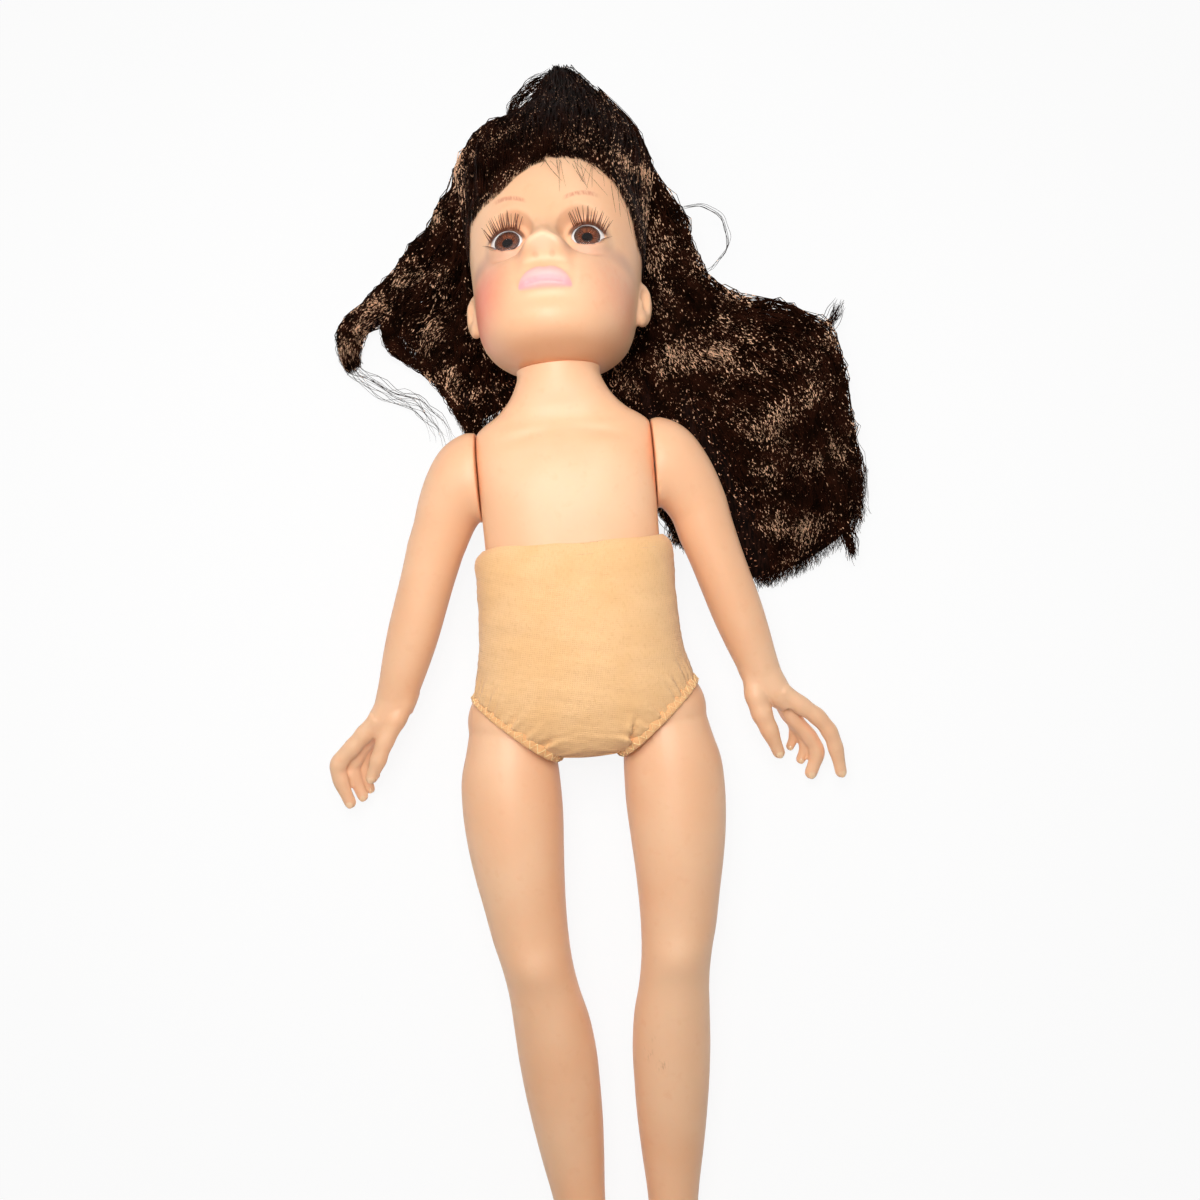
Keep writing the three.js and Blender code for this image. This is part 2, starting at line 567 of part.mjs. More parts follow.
function legSolid(grow = 0, withFoot = true) {
  const count = LIMB_SIDES;
  const rings = [];
  const top = withFoot ? legStations.length - 1 : 5;
  for (let t = 0; t <= top; t++) {
    const [y, out, half, forward, deep] = between(legStations, t);
    rings.push(Array.from({ length: count }, (_, i) => {
      const angle = (2 * Math.PI * i) / count;
      return v3(out + (half + grow) * Math.cos(angle), y, forward + (deep + grow) * Math.sin(angle));
    }));
  }
  const limb = join(solid(loft(rings)), ball(HIP_BALL + grow, 0, 0, 0));
  if (!withFoot) return limb;
  const soles = [];
  for (let t = 0; t <= footStations.length - 1; t++) {
    const [z, out, half, high, low] = between(footStations, t);
    soles.push(Array.from({ length: SOLE_SIDES }, (_, i) => {
      const [c, s] = squircle((2 * Math.PI * i) / SOLE_SIDES, 2.5);
      return v3(out + half * c, (high + low) / 2 + ((high - low) / 2) * s, z);
    }));
  }
  const toes = TOES.map(([across, r, z]) => placed(new THREE.SphereGeometry(r, 6, 5),
    new THREE.Matrix4().makeTranslation(-11.4 + across, -219.6 + r * 0.95, z)
      .multiply(new THREE.Matrix4().makeScale(1, 0.95, 1.35))));
  return join(limb, solid(loft(soles)), ...toes);
}

const legFrames = {};
const LEG_DROP = rad(LEG_SLOPE - TORSO_LIFT);
for (const [name, side] of Object.entries(sides)) {
  const frame = new THREE.Group();
  frame.position.set(side * HIP_APART, 0, 0);
  frame.rotation.x = LEG_DROP;
  torsoFrame.add(frame);
  legFrames[name] = frame;
}

// Room for the thighs in the torso's frame
const legRoom = Object.values(sides).map(side => {
  const thigh = side > 0 ? legSolid(RUN, false) : legSolid(RUN, false).mirror([1, 0, 0]);
  const matrix = new THREE.Matrix4().makeRotationX(LEG_DROP).setPosition(side * HIP_APART, 0, 0);
  return thigh.transform(matrix.elements);
});

add('chest_plate', chestPlate(), vinyl);
add('waist_tie', waistTie(), nylon);
add('torso_cover', torsoCover(legRoom), cloth);
add('torso_stuffing', torsoStuffing(), finish(new THREE.Color(0.95, 0.95, 0.93), 1));
const hipWall = HIP_APART - HIP_BALL - RUN - CLOTH;
const shoulderWall = SHOULDER_FACE - PLATE_WALL;
for (const [name, side] of Object.entries(sides)) {
  add(`leg_binding_${name}`, legBinding(side, legRoom), cloth);
  add(`hip_stem_${name}`, stem(side, hipWall, HIP_APART - HIP_BALL, 0), nylon);
  add(`hip_washer_${name}`, washer(side, hipWall, 0), nylon);
  const mirrored = body => (side > 0 ? body : body.mirror([1, 0, 0]));
  const hipBore = rodX(STEM_R + GAP, -HIP_BALL - 1, -HIP_BALL + STEM_IN_LIMB + GAP, 0, 0);
  add(`leg_${name}`, mirrored(cut(legSolid(), hipBore)), vinyl, legFrames[name]);
  const armFrame = new THREE.Group();
  armFrame.position.set(0, SHOULDER_UP, 0);
  armFrame.rotation.x = rad(ARM_BACK);
  torsoFrame.add(armFrame);
  const armBore = rodX(STEM_R + GAP, SHOULDER_FACE, SHOULDER_FACE + GAP + STEM_IN_LIMB + GAP, SHOULDER_UP, 0);
  const arm = cut(armSolid(name), armBore).translate([0, -SHOULDER_UP, 0]);
  add(`arm_${name}`, mirrored(arm), vinyl, armFrame);
  add(`shoulder_stem_${name}`, stem(side, shoulderWall, SHOULDER_FACE + GAP, SHOULDER_UP), nylon);
  add(`shoulder_washer_${name}`, washer(side, shoulderWall, SHOULDER_UP), nylon);
}

// Head: rings round the head's own upright axis, with the face raised out of the front by soft mounds
const headStations = [           // height, half width, front, back
  [-5.8, 0.6, 24.5, 23.5],
  [-5.2, 8.5, 30.5, 16.5],
  [-3.4, 15.6, 34.4, 8.5],
  [0, 21.6, 37.0, -2.5],
  [4.6, 26.6, 38.3, -15],
  [10.6, 30.2, 38.6, -26],
  [18, 32.2, 38.8, -33.6],
  [27, 33.6, 38.2, -38.4],
  [37, 35.0, 37.6, -40.6],
  [48, 36.2, 39.0, -41.2],
  [59, 37.6, 40.6, -41.2],
  [70, 37.4, 39.6, -40],
  [80, 34.2, 34.6, -36],
  [88, 28.2, 26.0, -29],
  [93.6, 19.6, 16.0, -19.8],
  [96.6, 9.6, 6.0, -9.6],
  [97.2, 0.6, -2, -3],
];
const headTop = headStations.length - 1;
const HEAD_POWER = 2.15;
// Mounds and dents of the face: across, up, spread across, spread above, spread below, height
const faceForms = [
  [0, 28.6, 4.4, 5.6, 3.0, 8.4],
  [0, 38, 3.6, 7, 6, 2.4],
  [5.6, 26, 2.3, 3.4, 2, 4],
  [0, 14.4, 9.5, 6, 4.6, 3.4],
  [3.4, 16.2, 3.6, 1.9, 2.1, 1.4],
  [0, 12.4, 8, 0.8, 0.8, -1.6],
  [0, 10.8, 5.4, 1.4, 1.4, 1.3],
  [10.4, 11.6, 2, 2, 2, -1],
  [0, 7.4, 8, 2.4, 2.4, -1.2],
  [0, 1.2, 8, 5, 5, 2],
  [19, 21, 9, 8, 8, 2.8],
  [14, 30, 9, 2.4, 2.4, -1],
  [14, 48.5, 9, 4, 4, 0.8],
];

function faceRelief(x, y) {
  let height = 0;
  for (const [across, up, wide, above, below, rise] of faceForms) {
    const tall = y > up ? above : below;
    const hill = a => rise * Math.exp(-(((x - a) / wide) ** 2 + ((y - up) / tall) ** 2) / 2);
    height += across === 0 ? hill(0) : hill(across) + hill(-across);
  }
  return height;
}

// The face's surface at a point: round each eye it follows the eyeball, under the lids
function overEyes(x, y, z) {
  const reach = Math.hypot(Math.abs(x) - EYE_APART + EYE_IN / 2, y - EYE_UP);
  const aside = Math.hypot(Math.abs(x) - EYE_APART + EYE_IN, y - EYE_UP);
  const lid = EYE_FORWARD + Math.sqrt(Math.max((EYE_R + LID) ** 2 - aside ** 2, 0));
  return THREE.MathUtils.lerp(lid, z, THREE.MathUtils.smoothstep(reach, ...LID_REACH));
}

function headRings(from, to, rows, count, grow, relief = true) {
  const rings = [];
  for (let k = 0; k <= rows; k++) {
    const [y, half, front, back] = between(headStations, from + ((to - from) * k) / rows);
    const wide = Math.max(half + grow, 0.05);
    const deep = Math.max((front - back) / 2 + grow, 0.05);
    rings.push(Array.from({ length: count }, (_, i) => {
      // Angles are packed towards the face
      const turn = (2 * Math.PI * i) / count;
      const angle = turn + 0.34 * Math.cos(turn);
      const [c, s] = squircle(angle, HEAD_POWER);
      const front01 = THREE.MathUtils.smoothstep(s, 0.1, 0.55);
      const lift = relief ? front01 * faceRelief(wide * c, y) : 0;
      const z = (front + back) / 2 + deep * s + lift;
      return v3(wide * c, y + grow * (2 * k / rows - 1), relief && s > 0 ? overEyes(wide * c, y, z) : z);
    }));
  }
  return rings;
}

function eyeOpening(side) {
  const shape = new THREE.Shape();
  const half = EYE_WIDE / 2;
  shape.moveTo(-half, -0.6);
  shape.bezierCurveTo(-half + 1.2, EYE_TALL * 0.64, half - 2.4, EYE_TALL * 0.72, half, 0.2);
  shape.bezierCurveTo(half - 1.6, -EYE_TALL * 0.6, -half + 2.6, -EYE_TALL * 0.64, -half, -0.6);
  const prism = new THREE.ExtrudeGeometry(shape, { depth: 30, bevelEnabled: false, curveSegments: 8 });
  const body = solid(prism).translate([EYE_APART, EYE_UP, EYE_FORWARD]);
  return side > 0 ? body : body.mirror([1, 0, 0]);
}

function ear(side) {
  const lobe = new THREE.SphereGeometry(1, 10, 8);
  const frame = new THREE.Matrix4().makeTranslation(35.2, 31.4, -4)
    .multiply(new THREE.Matrix4().makeRotationFromEuler(new THREE.Euler(-0.12, -0.5, -0.1)));
  const rim = placed(lobe, frame.clone().multiply(new THREE.Matrix4().makeScale(3.4, 10.6, 6.4)));
  const bowl = placed(lobe, frame.clone().multiply(new THREE.Matrix4().makeTranslation(3.4, 0.8, 1))
    .multiply(new THREE.Matrix4().makeScale(2.2, 6.4, 3.6)));
  const body = cut(rim, bowl);
  return side > 0 ? body : body.mirror([1, 0, 0]);
}

// The neck's axis seen from the head's frame
const headToTorso = new THREE.Matrix4().makeRotationFromEuler(headFrame.rotation).setPosition(headFrame.position);
const torsoToHead = headToTorso.clone().invert();
const inHead = body => body.transform(torsoToHead.elements);

function headShell() {
  const outer = solid(loft(headRings(0, headTop, 26, 30, 0)));
  const eyeBalls = r => Object.values(sides).map(s => ball(r, s * (EYE_APART - EYE_IN), EYE_UP, EYE_FORWARD, ...EYE_FACETS));
  const cups = eyeBalls(EYE_R + GAP + CUP_WALL);
  const hollow = cut(solid(loft(headRings(0.9, headTop - 0.5, 8, 14, -HEAD_WALL, false))), ...cups);
  const lip = inHead(rodY(NECK_R + 4, NECK_SEAM + GAP, FLANGE_UP - GAP, 0, 0)).intersect(outer);
  const neckRoom = inHead(rodY(NECK_R + 0.2, NECK_SEAM - 30, NECK_SEAM + GAP, 0, 0));
  const mouth = inHead(rodY(NECK_GROOVE_R + GAP, NECK_SEAM - 1, FLANGE_UP + FLANGE_THICK, 0, 0));
  const flangeRoom = inHead(rodY(NECK_FLANGE_R + GAP + 0.5, FLANGE_UP - GAP, FLANGE_UP + FLANGE_THICK + 1, 0, 0));
  const shell = join(cut(join(outer, ear(1), ear(-1)), hollow), lip);
  return cut(shell, flangeRoom, neckRoom, mouth, ...eyeBalls(EYE_R + GAP), eyeOpening(1), eyeOpening(-1));
}

// Eyes: an acrylic ball with a recessed iris under a clear dome
function eyeParts(side) {
  const front = Math.sqrt(EYE_R ** 2 - IRIS_R ** 2);
  const rodZ = (r, z0, z1) => solid(new THREE.CylinderGeometry(r, r, z1 - z0, 16).rotateX(Math.PI / 2)
    .translate(0, 0, (z0 + z1) / 2));
  const floor = front - IRIS_DEEP;
  const set = body => body.rotate([0, side * EYE_GAZE, 0])
    .translate([side * (EYE_APART - EYE_IN), EYE_UP, EYE_FORWARD]);
  const bulb = cut(ball(EYE_R, 0, 0, 0, ...EYE_FACETS), rodZ(IRIS_R + GAP, floor, front + 6));
  const iris = rodZ(IRIS_R, floor + GAP, floor + GAP + IRIS_THICK);
  const dome = ball(EYE_R + 0.4, 0, 0, 0, ...EYE_FACETS).intersect(rodZ(IRIS_R, floor + 2 * GAP + IRIS_THICK, front + 6));
  return { bulb: set(bulb), iris: set(iris), dome: set(dome) };
}

// Lashes: a fine strip along the upper lid with single bristles that fan up and out
const BRISTLES = 11;
function lash(side) {
  const lid = t => {
    const x = -3.6 + 11.4 * t;
    const y = 4.3 + 1.4 * Math.sin(Math.PI * Math.min(t * 1.05, 1)) - 2.4 * t * t;
    const z = Math.sqrt(Math.max((EYE_R + LID + 1.2) ** 2 - x * x - y * y, 1));
    return v3(EYE_APART - EYE_IN + x, EYE_UP + y, EYE_FORWARD + z);
  };
  const strip = Array.from({ length: 4 }, (_, k) => [...lid(k / 3).toArray(), 0.42]);
  const hairs = Array.from({ length: BRISTLES }, (_, k) => {
    const t = 0.1 + (0.9 * (k + 0.5)) / BRISTLES;
    const root = lid(t);
    const fan = (t - 0.38) * 1.9;
    const tip = root.clone().add(v3(4.6 * fan, 5.2 - 3.4 * Math.max(t - 0.5, 0), 3.2 + 0.8 * t));
    const middle = root.clone().lerp(tip, 0.5).add(v3(0, -0.7, 0.9));
    const tuft = (at, r) => Array.from({ length: 3 }, (_, i) =>
      at.clone().add(v3(r * Math.cos((i * 2 * Math.PI) / 3), 0, r * Math.sin((i * 2 * Math.PI) / 3))));
    return solid(loft([tuft(root, 0.28), tuft(middle, 0.22), tuft(tip, 0.08)]));
  });
  const body = join(sweep(strip, 5, false), ...hairs);
  return side > 0 ? body : body.mirror([1, 0, 0]);
}

add('head_shell', headShell(), vinyl, headFrame);
for (const [name, side] of Object.entries(sides)) {
  const { bulb, iris, dome } = eyeParts(side);
  add(`eye_${name}`, bulb, finish(new THREE.Color(0.93, 0.91, 0.89), 0.25), headFrame);
  add(`iris_${name}`, iris, finish(new THREE.Color(0.3, 0.13, 0.05), 0.3), headFrame);
  add(`cornea_${name}`, dome, finish(new THREE.Color(0.95, 0.97, 1), 0.05), headFrame);
  add(`lash_${name}`, lash(side), finish(new THREE.Color(0.3, 0.15, 0.08), 0.6), headFrame);
}

// Hair: fibre rooted over the skull, and the loose lengths that lie round the head on the surface.
// The hairline in the head's frame, from the nape up to the middle of the forehead
const capOuter = gap => solid(loft(headRings(3, headTop, 9, 18, HAIR_THICK + gap, false)));

function hairCap() {
  const outer = capOuter(0);
  const skull = solid(loft(headRings(0, headTop, 11, 20, 1.8, false)));
  const line = new THREE.Shape();
  line.moveTo(0, 72);
  line.bezierCurveTo(12, 73, 24, 66, 30, 52);
  line.bezierCurveTo(34, 42, 34, 32, 46, 30);
  line.lineTo(46, -30);
  line.lineTo(-46, -30);
  line.lineTo(-46, 30);
  line.bezierCurveTo(-34, 32, -34, 42, -30, 52);
  line.bezierCurveTo(-24, 66, -12, 73, 0, 72);
  const face = solid(new THREE.ExtrudeGeometry(line, { depth: 80, bevelEnabled: false, curveSegments: 6 }))
    .translate([0, 0, -8]);
  const ears = Object.values(sides).map(s => box(v3(s > 0 ? 30 : -46, 8, -13), v3(s > 0 ? 46 : -30, 42, 12)));
  const nape = inHead(rodY(NECK_R + 3, NECK_SEAM - 60, NECK_SEAM + 8, 0, 0));
  return cut(outer, skull, face, ...ears, nape, inHead(belowSurface()));
}

// A mound of hair on the surface: an outline seen from above, and how far it draws in as it rises
function mound(outline, heights, smooth = 2) {
  const curve = new THREE.CatmullRomCurve3(outline.map(([x, y]) => v3(x, y, 0)), true);
  const edge = curve.getPoints(outline.length * smooth).slice(0, -1);
  const middle = edge.reduce((m, p) => m.add(p), v3(0, 0, 0)).divideScalar(edge.length);
  return solid(loft(heights.map(([z, share]) =>
    edge.map(p => middle.clone().lerp(p, share).setZ(z)))));
}

const worldToTorso = new THREE.Matrix4().makeRotationX(rad(TORSO_LIFT)).setPosition(0, HIP_ALONG, HIP_HEIGHT);
const toWorld = body => body.transform(worldToTorso.elements);
const hairRoom = [
  toWorld(capOuter(GAP).transform(headToTorso.elements)),
  toWorld(solid(loft(headRings(0, headTop, 12, 20, 2, false))).transform(headToTorso.elements)),
  toWorld(join(ear(1), ear(-1)).transform(headToTorso.elements)),
  toWorld(levelLoft(plateStations, 0, plateTop, 10, 18, 1.2)),
  toWorld(rodY(NECK_R + 1, NECK_SEAM - 20, NECK_SEAM + 6, 0, 0)),
  ...Object.entries(sides).map(([name, side]) => {
    const turn = new THREE.Matrix4().makeRotationX(rad(ARM_BACK)).setPosition(0, SHOULDER_UP, 0);
    const arm = armSolid(name, 0.8).translate([0, -SHOULDER_UP, 0]);
    return toWorld((side > 0 ? arm : arm.mirror([1, 0, 0])).transform(turn.elements));
  }),
];
const hairs = {
  hair_mass_left: mound(
    [[50, 236], [68, 219], [82, 202], [109, 186], [124, 170], [127, 148], [130, 118], [128, 97], [130, 82], [118, 67],
      [84, 53], [60, 62], [42, 88], [36, 130], [40, 180]],
    [[0, 0.98], [4, 1], [13, 0.96], [20, 0.82], [24, 0.5]],
  ),
  hair_lock_right: mound(
    [[-44, 238], [-58, 234], [-69, 217], [-76, 207], [-97, 191], [-102, 178], [-94, 163], [-84, 171], [-74, 160],
      [-53, 150], [-34, 138], [-28, 170], [-34, 210]],
    [[0, 0.97], [3, 1], [9, 0.96], [15, 0.82], [18, 0.5]],
  ),
  hair_crown: mound(
    [[-50, 206], [-46, 232], [-38, 250], [-33, 261], [-14, 275], [-6, 286], [10, 292], [27, 285], [37, 271], [47, 257],
      [50, 240], [57, 222], [58, 204], [30, 192], [0, 188], [-28, 190]],
    [[0, 0.94], [5, 1], [24, 1], [42, 0.93], [56, 0.7]],
  ),
};
const [crown, massLeft, lockRight] = [hairs.hair_crown, hairs.hair_mass_left, hairs.hair_lock_right];
// Under the head the lengths are pressed flat, and carry its weight
const bedOutline = [[-28, 176], [-18, 162], [4, 158], [26, 163], [34, 180], [32, 202], [16, 214], [-8, 214], [-25, 200]];
const bed = cut(mound(bedOutline, [[0, 0.98], [3, 1], [11, 0.96]], 2), ...hairRoom.slice(0, 2));
const bedRoom = mound(bedOutline, [[-1, 1.02], [11 + GAP, 1.02]], 2);
add('hair_cap', hairCap(), hairFibre, headFrame);
add('hair_bed', bed, hairFibre, doll);
add('hair_crown', cut(crown, ...hairRoom, bedRoom), hairFibre, doll);
add('hair_mass_left', cut(massLeft, ...hairRoom, bedRoom, growOutline(crown)), hairFibre, doll);
add('hair_lock_right', cut(lockRight, ...hairRoom, bedRoom, growOutline(crown)), hairFibre, doll);

function growOutline(body) {
  const { min, max } = body.boundingBox();
  const middle = min.map((lo, i) => (lo + max[i]) / 2);
  const scale = min.map((lo, i) => (max[i] - lo + 2 * GAP) / (max[i] - lo));
  return body.translate(middle.map(m => -m)).scale(scale).translate(middle);
}

export default doll;
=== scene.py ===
import math

import bpy
import numpy as np
from mathutils import Matrix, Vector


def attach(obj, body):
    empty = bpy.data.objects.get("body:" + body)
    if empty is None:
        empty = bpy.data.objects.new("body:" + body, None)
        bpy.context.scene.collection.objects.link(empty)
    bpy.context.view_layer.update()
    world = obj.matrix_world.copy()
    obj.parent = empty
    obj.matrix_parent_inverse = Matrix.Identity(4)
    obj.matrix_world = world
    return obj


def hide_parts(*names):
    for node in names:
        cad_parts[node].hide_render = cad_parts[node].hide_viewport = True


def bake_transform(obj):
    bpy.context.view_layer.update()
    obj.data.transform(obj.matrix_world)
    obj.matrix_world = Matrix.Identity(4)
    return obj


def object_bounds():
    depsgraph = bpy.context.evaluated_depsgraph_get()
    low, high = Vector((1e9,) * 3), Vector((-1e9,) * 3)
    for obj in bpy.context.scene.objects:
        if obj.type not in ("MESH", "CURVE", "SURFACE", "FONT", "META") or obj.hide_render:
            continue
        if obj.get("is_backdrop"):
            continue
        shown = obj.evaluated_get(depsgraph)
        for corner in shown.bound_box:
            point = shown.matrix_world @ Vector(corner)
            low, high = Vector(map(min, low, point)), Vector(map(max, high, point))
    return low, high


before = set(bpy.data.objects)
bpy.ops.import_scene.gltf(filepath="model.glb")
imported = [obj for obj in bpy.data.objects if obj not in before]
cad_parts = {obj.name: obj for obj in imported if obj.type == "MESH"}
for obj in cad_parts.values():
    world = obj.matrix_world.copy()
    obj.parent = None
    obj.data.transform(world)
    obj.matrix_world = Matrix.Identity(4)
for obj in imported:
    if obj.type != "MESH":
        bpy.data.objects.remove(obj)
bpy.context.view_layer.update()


# Camera and studio.
# The camera stands above the doll's hips, looks a little up the body and is turned a few degrees, as in the photograph.
# A broad lamp over the chest gives most of the light, so it fades towards the feet; a small lamp by the camera and one
# on each side fill the shadows.
def looking(place, tilt, roll):
    """A camera's matrix: it looks down along -Z, tipped about X by tilt and then turned about its own axis by roll."""
    lean, turn = math.radians(tilt), math.radians(roll)
    back = np.array([0, -math.sin(lean), math.cos(lean)])
    right, up = np.array([1.0, 0, 0]), np.array([0, math.cos(lean), math.sin(lean)])
    wide = right * math.cos(turn) + up * math.sin(turn)
    high = up * math.cos(turn) - right * math.sin(turn)
    matrix = np.eye(4)
    matrix[:3, 0], matrix[:3, 1], matrix[:3, 2], matrix[:3, 3] = wide, high, back, place
    return Matrix(matrix.tolist())


def facing(place, aim):
    """A lamp's matrix at a place, with its -Z towards the aim."""
    axis = np.array(place) - np.array(aim)
    axis /= np.linalg.norm(axis)
    side = np.cross((0, 1, 0), axis)
    side /= np.linalg.norm(side)
    matrix = np.eye(4)
    matrix[:3, 0], matrix[:3, 1], matrix[:3, 2], matrix[:3, 3] = side, np.cross(axis, side), axis, place
    return Matrix(matrix.tolist())


camera_data = bpy.data.cameras.new("camera")
camera_data.lens, camera_data.sensor_width, camera_data.clip_start = 30, 36, 0.01
camera = bpy.data.objects.new("camera", camera_data)
camera.matrix_world = looking((0.0092, -0.0185, 0.4413), 9.5, -4.8)
bpy.context.collection.objects.link(camera)
bpy.context.scene.camera = camera
bpy.context.scene.view_settings.view_transform = "Standard"

for title, place, aim, size, watts in (
    ("lamp_over_chest", (-0.03, 0.13, 0.50), (0.0, 0.12, 0.0), 0.28, 1.75),
    ("lamp_by_camera", (-0.03, 0.02, 0.46), (0.0, 0.17, 0.05), 0.02, 0.25),
    ("lamp_left", (-0.7, 0.3, 0.6), (0, 0.1, 0), 0.6, 1.0),
    ("lamp_right", (0.75, 0.3, 0.6), (0, 0.1, 0), 0.6, 1.0),
):
    lamp = bpy.data.lights.new(title, "AREA")
    lamp.size, lamp.energy = size, watts
    stand = bpy.data.objects.new(title, lamp)
    stand.matrix_world = facing(place, aim)
    bpy.context.collection.objects.link(stand)

world = bpy.data.worlds.new("studio")
world.use_nodes = True
sky = world.node_tree.nodes["Background"].inputs
sky["Color"].default_value, sky["Strength"].default_value = (1.0, 0.98, 0.95, 1), 0.2
bpy.context.scene.world = world


class Wired:
    """A shader socket on which + - * / and named operations add Math nodes."""

    def __init__(self, finish, socket):
        self.finish, self.socket = finish, socket

    def math(self, operation, *others):
        values = (self, *others)
        return self.finish.node("ShaderNodeMath", {"operation": operation}, dict(enumerate(values)))

    def __add__(self, other):
        return self.math("ADD", other)

    def __sub__(self, other):
        return self.math("SUBTRACT", other)

    def __mul__(self, other):
        return self.math("MULTIPLY", other)

    def __truediv__(self, other):
        return self.math("DIVIDE", other)

    def __rsub__(self, other):
        return self.math("MULTIPLY_ADD", -1.0, other)

    __radd__, __rmul__ = __add__, __mul__

    def ridge(self, width):
        """A bell curve of height 1 over the value's zero: exp(-(value / width)^2)."""
        return ((self / width).math("POWER", 2.0) * -1).math("EXPONENT")

    def step(self, low, high):
        """0 at or below low and 1 at or above high, with a smooth change between them; low may be the larger."""
        return self.finish.node("ShaderNodeMapRange", {"interpolation_type": "SMOOTHSTEP"},
                                {"Value": self, "From Min": low, "From Max": high})


class Finish:
    """A material with one Principled shader, and the nodes that vary it."""

    def __init__(self, title, roughness, **constants):
        self.material = bpy.data.materials.new(title)
        self.material.use_nodes = True
        self.tree = self.material.node_tree
        self.shader = self.tree.nodes["Principled BSDF"]
        self.shader.inputs["Roughness"].default_value = roughness
        for socket, value in constants.items():
            self.shader.inputs[socket.replace("_", " ")].default_value = value

    def node(self, kind, settings=None, inputs=None, output=0):
        added = self.tree.nodes.new(kind)
        for setting, value in (settings or {}).items():
            setattr(added, setting, value)
        for socket, value in (inputs or {}).items():
            if isinstance(value, Wired):
                self.tree.links.new(value.socket, added.inputs[socket])
            else:
                added.inputs[socket].default_value = value
        return Wired(self, added.outputs[output])

    def place(self):
        return self.node("ShaderNodeTexCoord", output="Object")

    def noise(self, scale, detail=2.0, vector=None):
        return self.node("ShaderNodeTexNoise", {}, {"Vector": vector or self.place(), "Scale": scale, "Detail": detail})

    def stretched(self, scale):
        """The place with each axis scaled: a scale below 1 draws the texture out along that axis."""
        return self.node("ShaderNodeMapping", {}, {"Vector": self.place(), "Scale": scale})

    def distance(self, centre):
        """The distance of each point from a centre in the frame's metres."""
        return self.node("ShaderNodeVectorMath", {"operation": "DISTANCE"}, {0: self.place(), 1: centre}, "Value")

    def mix(self, share, a, b):
        return self.node("ShaderNodeMix", {"data_type": "RGBA"}, {0: share, 6: a, 7: b}, 2)

    def feed(self, socket, value):
        self.tree.links.new(value.socket, self.shader.inputs[socket])

    def bump(self, height, distance):
        self.feed("Normal", self.node("ShaderNodeBump", {}, {"Height": height, "Distance": distance, "Strength": 1.0}))


def paint(red, green, blue):
    """A colour given as 0 to 255 on a screen, as the shader's linear values."""
    share = np.array([red, green, blue]) / 255
    linear = np.where(share <= 0.04045, share / 12.92, ((share + 0.055) / 1.055) ** 2.4)
    return (*linear.tolist(), 1.0)


floor_mesh = bpy.data.meshes.new("floor")
corners = [(x, y, -0.0003) for x, y in ((-4, -4), (4, -4), (4, 4), (-4, 4))]
floor_mesh.from_pydata(corners, [], [(0, 1, 2, 3)])
floor = bpy.data.objects.new("floor", floor_mesh)
bpy.context.collection.objects.link(floor)
paper = Finish("white_paper", 0.9)
paper.shader.inputs["Base Color"].default_value = (0.9, 0.9, 0.9, 1)
glow = paper.node("ShaderNodeEmission", {}, {"Strength": 1.0})
seen, mirrored, through = (
    paper.node("ShaderNodeLightPath", output=f"Is {ray} Ray") for ray in ("Camera", "Glossy", "Transmission")
)
seen = seen.math("MAXIMUM", mirrored.math("MAXIMUM", through)) * 0.9
blended = paper.node("ShaderNodeMixShader", {}, {0: seen, 1: Wired(paper, paper.shader.outputs[0]), 2: glow})
paper.tree.links.new(blended.socket, paper.tree.nodes["Material Output"].inputs["Surface"])
floor_mesh.materials.append(paper.material)
floor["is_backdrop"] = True


# Chest plate and neck.
# One vinyl moulding with the shoulders and the neck: 2.5 mm thick, open below, with a flat side and a hole for each
# arm. The head's rim turns in the groove under the flange on top of the neck.
TORSO_LIFT = 10.5
HIPS_AT = (0, 3, 28)
SHOULDER_UP, SHOULDER_FACE, STEM_BORE = 101, 35.5, 4.3
NECK_SEAM, NECK_GROOVE, NECK_FLANGE, NECK_BORE = 142, 13.5, 15.6, 11
GROOVE_TOP, NECK_TOP = 145.4, 148.4
PLATE_WALL = 2.5
PLATE = [
    [46, 34.6, 21.0, -20.0, 2.7], [60, 35.6, 22.3, -21.0, 2.7], [80, 36.2, 23.0, -21.8, 2.7],
    [96, 37.0, 22.6, -21.6, 2.7], [108, 37.4, 19.8, -19.8, 2.7], [116, 36.6, 16.6, -17.6, 2.6],
    [120.5, 33.0, 14.6, -16.2, 2.5], [125, 26.5, 14.4, -16.0, 2.3], [131, 21.0, 15.6, -16.6, 2.1],
    [138, 17.4, 16.6, -17.0, 2.0], [142, 17.0, 17.0, -17.0, 2.0],
]


def turned(points, degrees):
    """Points turned about X: y' = y cos - z sin, z' = y sin + z cos."""
    angle = math.radians(degrees)
    x, y, z = np.moveaxis(np.asarray(points, float), -1, 0)
    return np.stack([x, y * math.cos(angle) - z * math.sin(angle), y * math.sin(angle) + z * math.cos(angle)], -1)


def torso_place(points):
    """The torso's millimetres, from the hips, as metres in the frame: the shoulders are propped up."""
    return (turned(points, TORSO_LIFT) + HIPS_AT) / 1000


def full_turn(count, start=0.0):
    """Angles at even steps once round, from a share of a step."""
    return 2 * np.pi * (np.arange(count) + start) / count


def ridge(value, width):
    """A bell curve of height 1 over the value's zero: exp(-(value / width)^2)."""
    return np.exp(-((value / width) ** 2))


def curve(p, q, r, s, f):
    """A point at the share f from q to r of the Catmull-Rom curve, a cubic, through p, q, r and s."""
    return q + 0.5 * f * (r - p + f * (2 * p - 5 * q + 4 * r - s + f * (3 * q - p - 3 * r + s)))


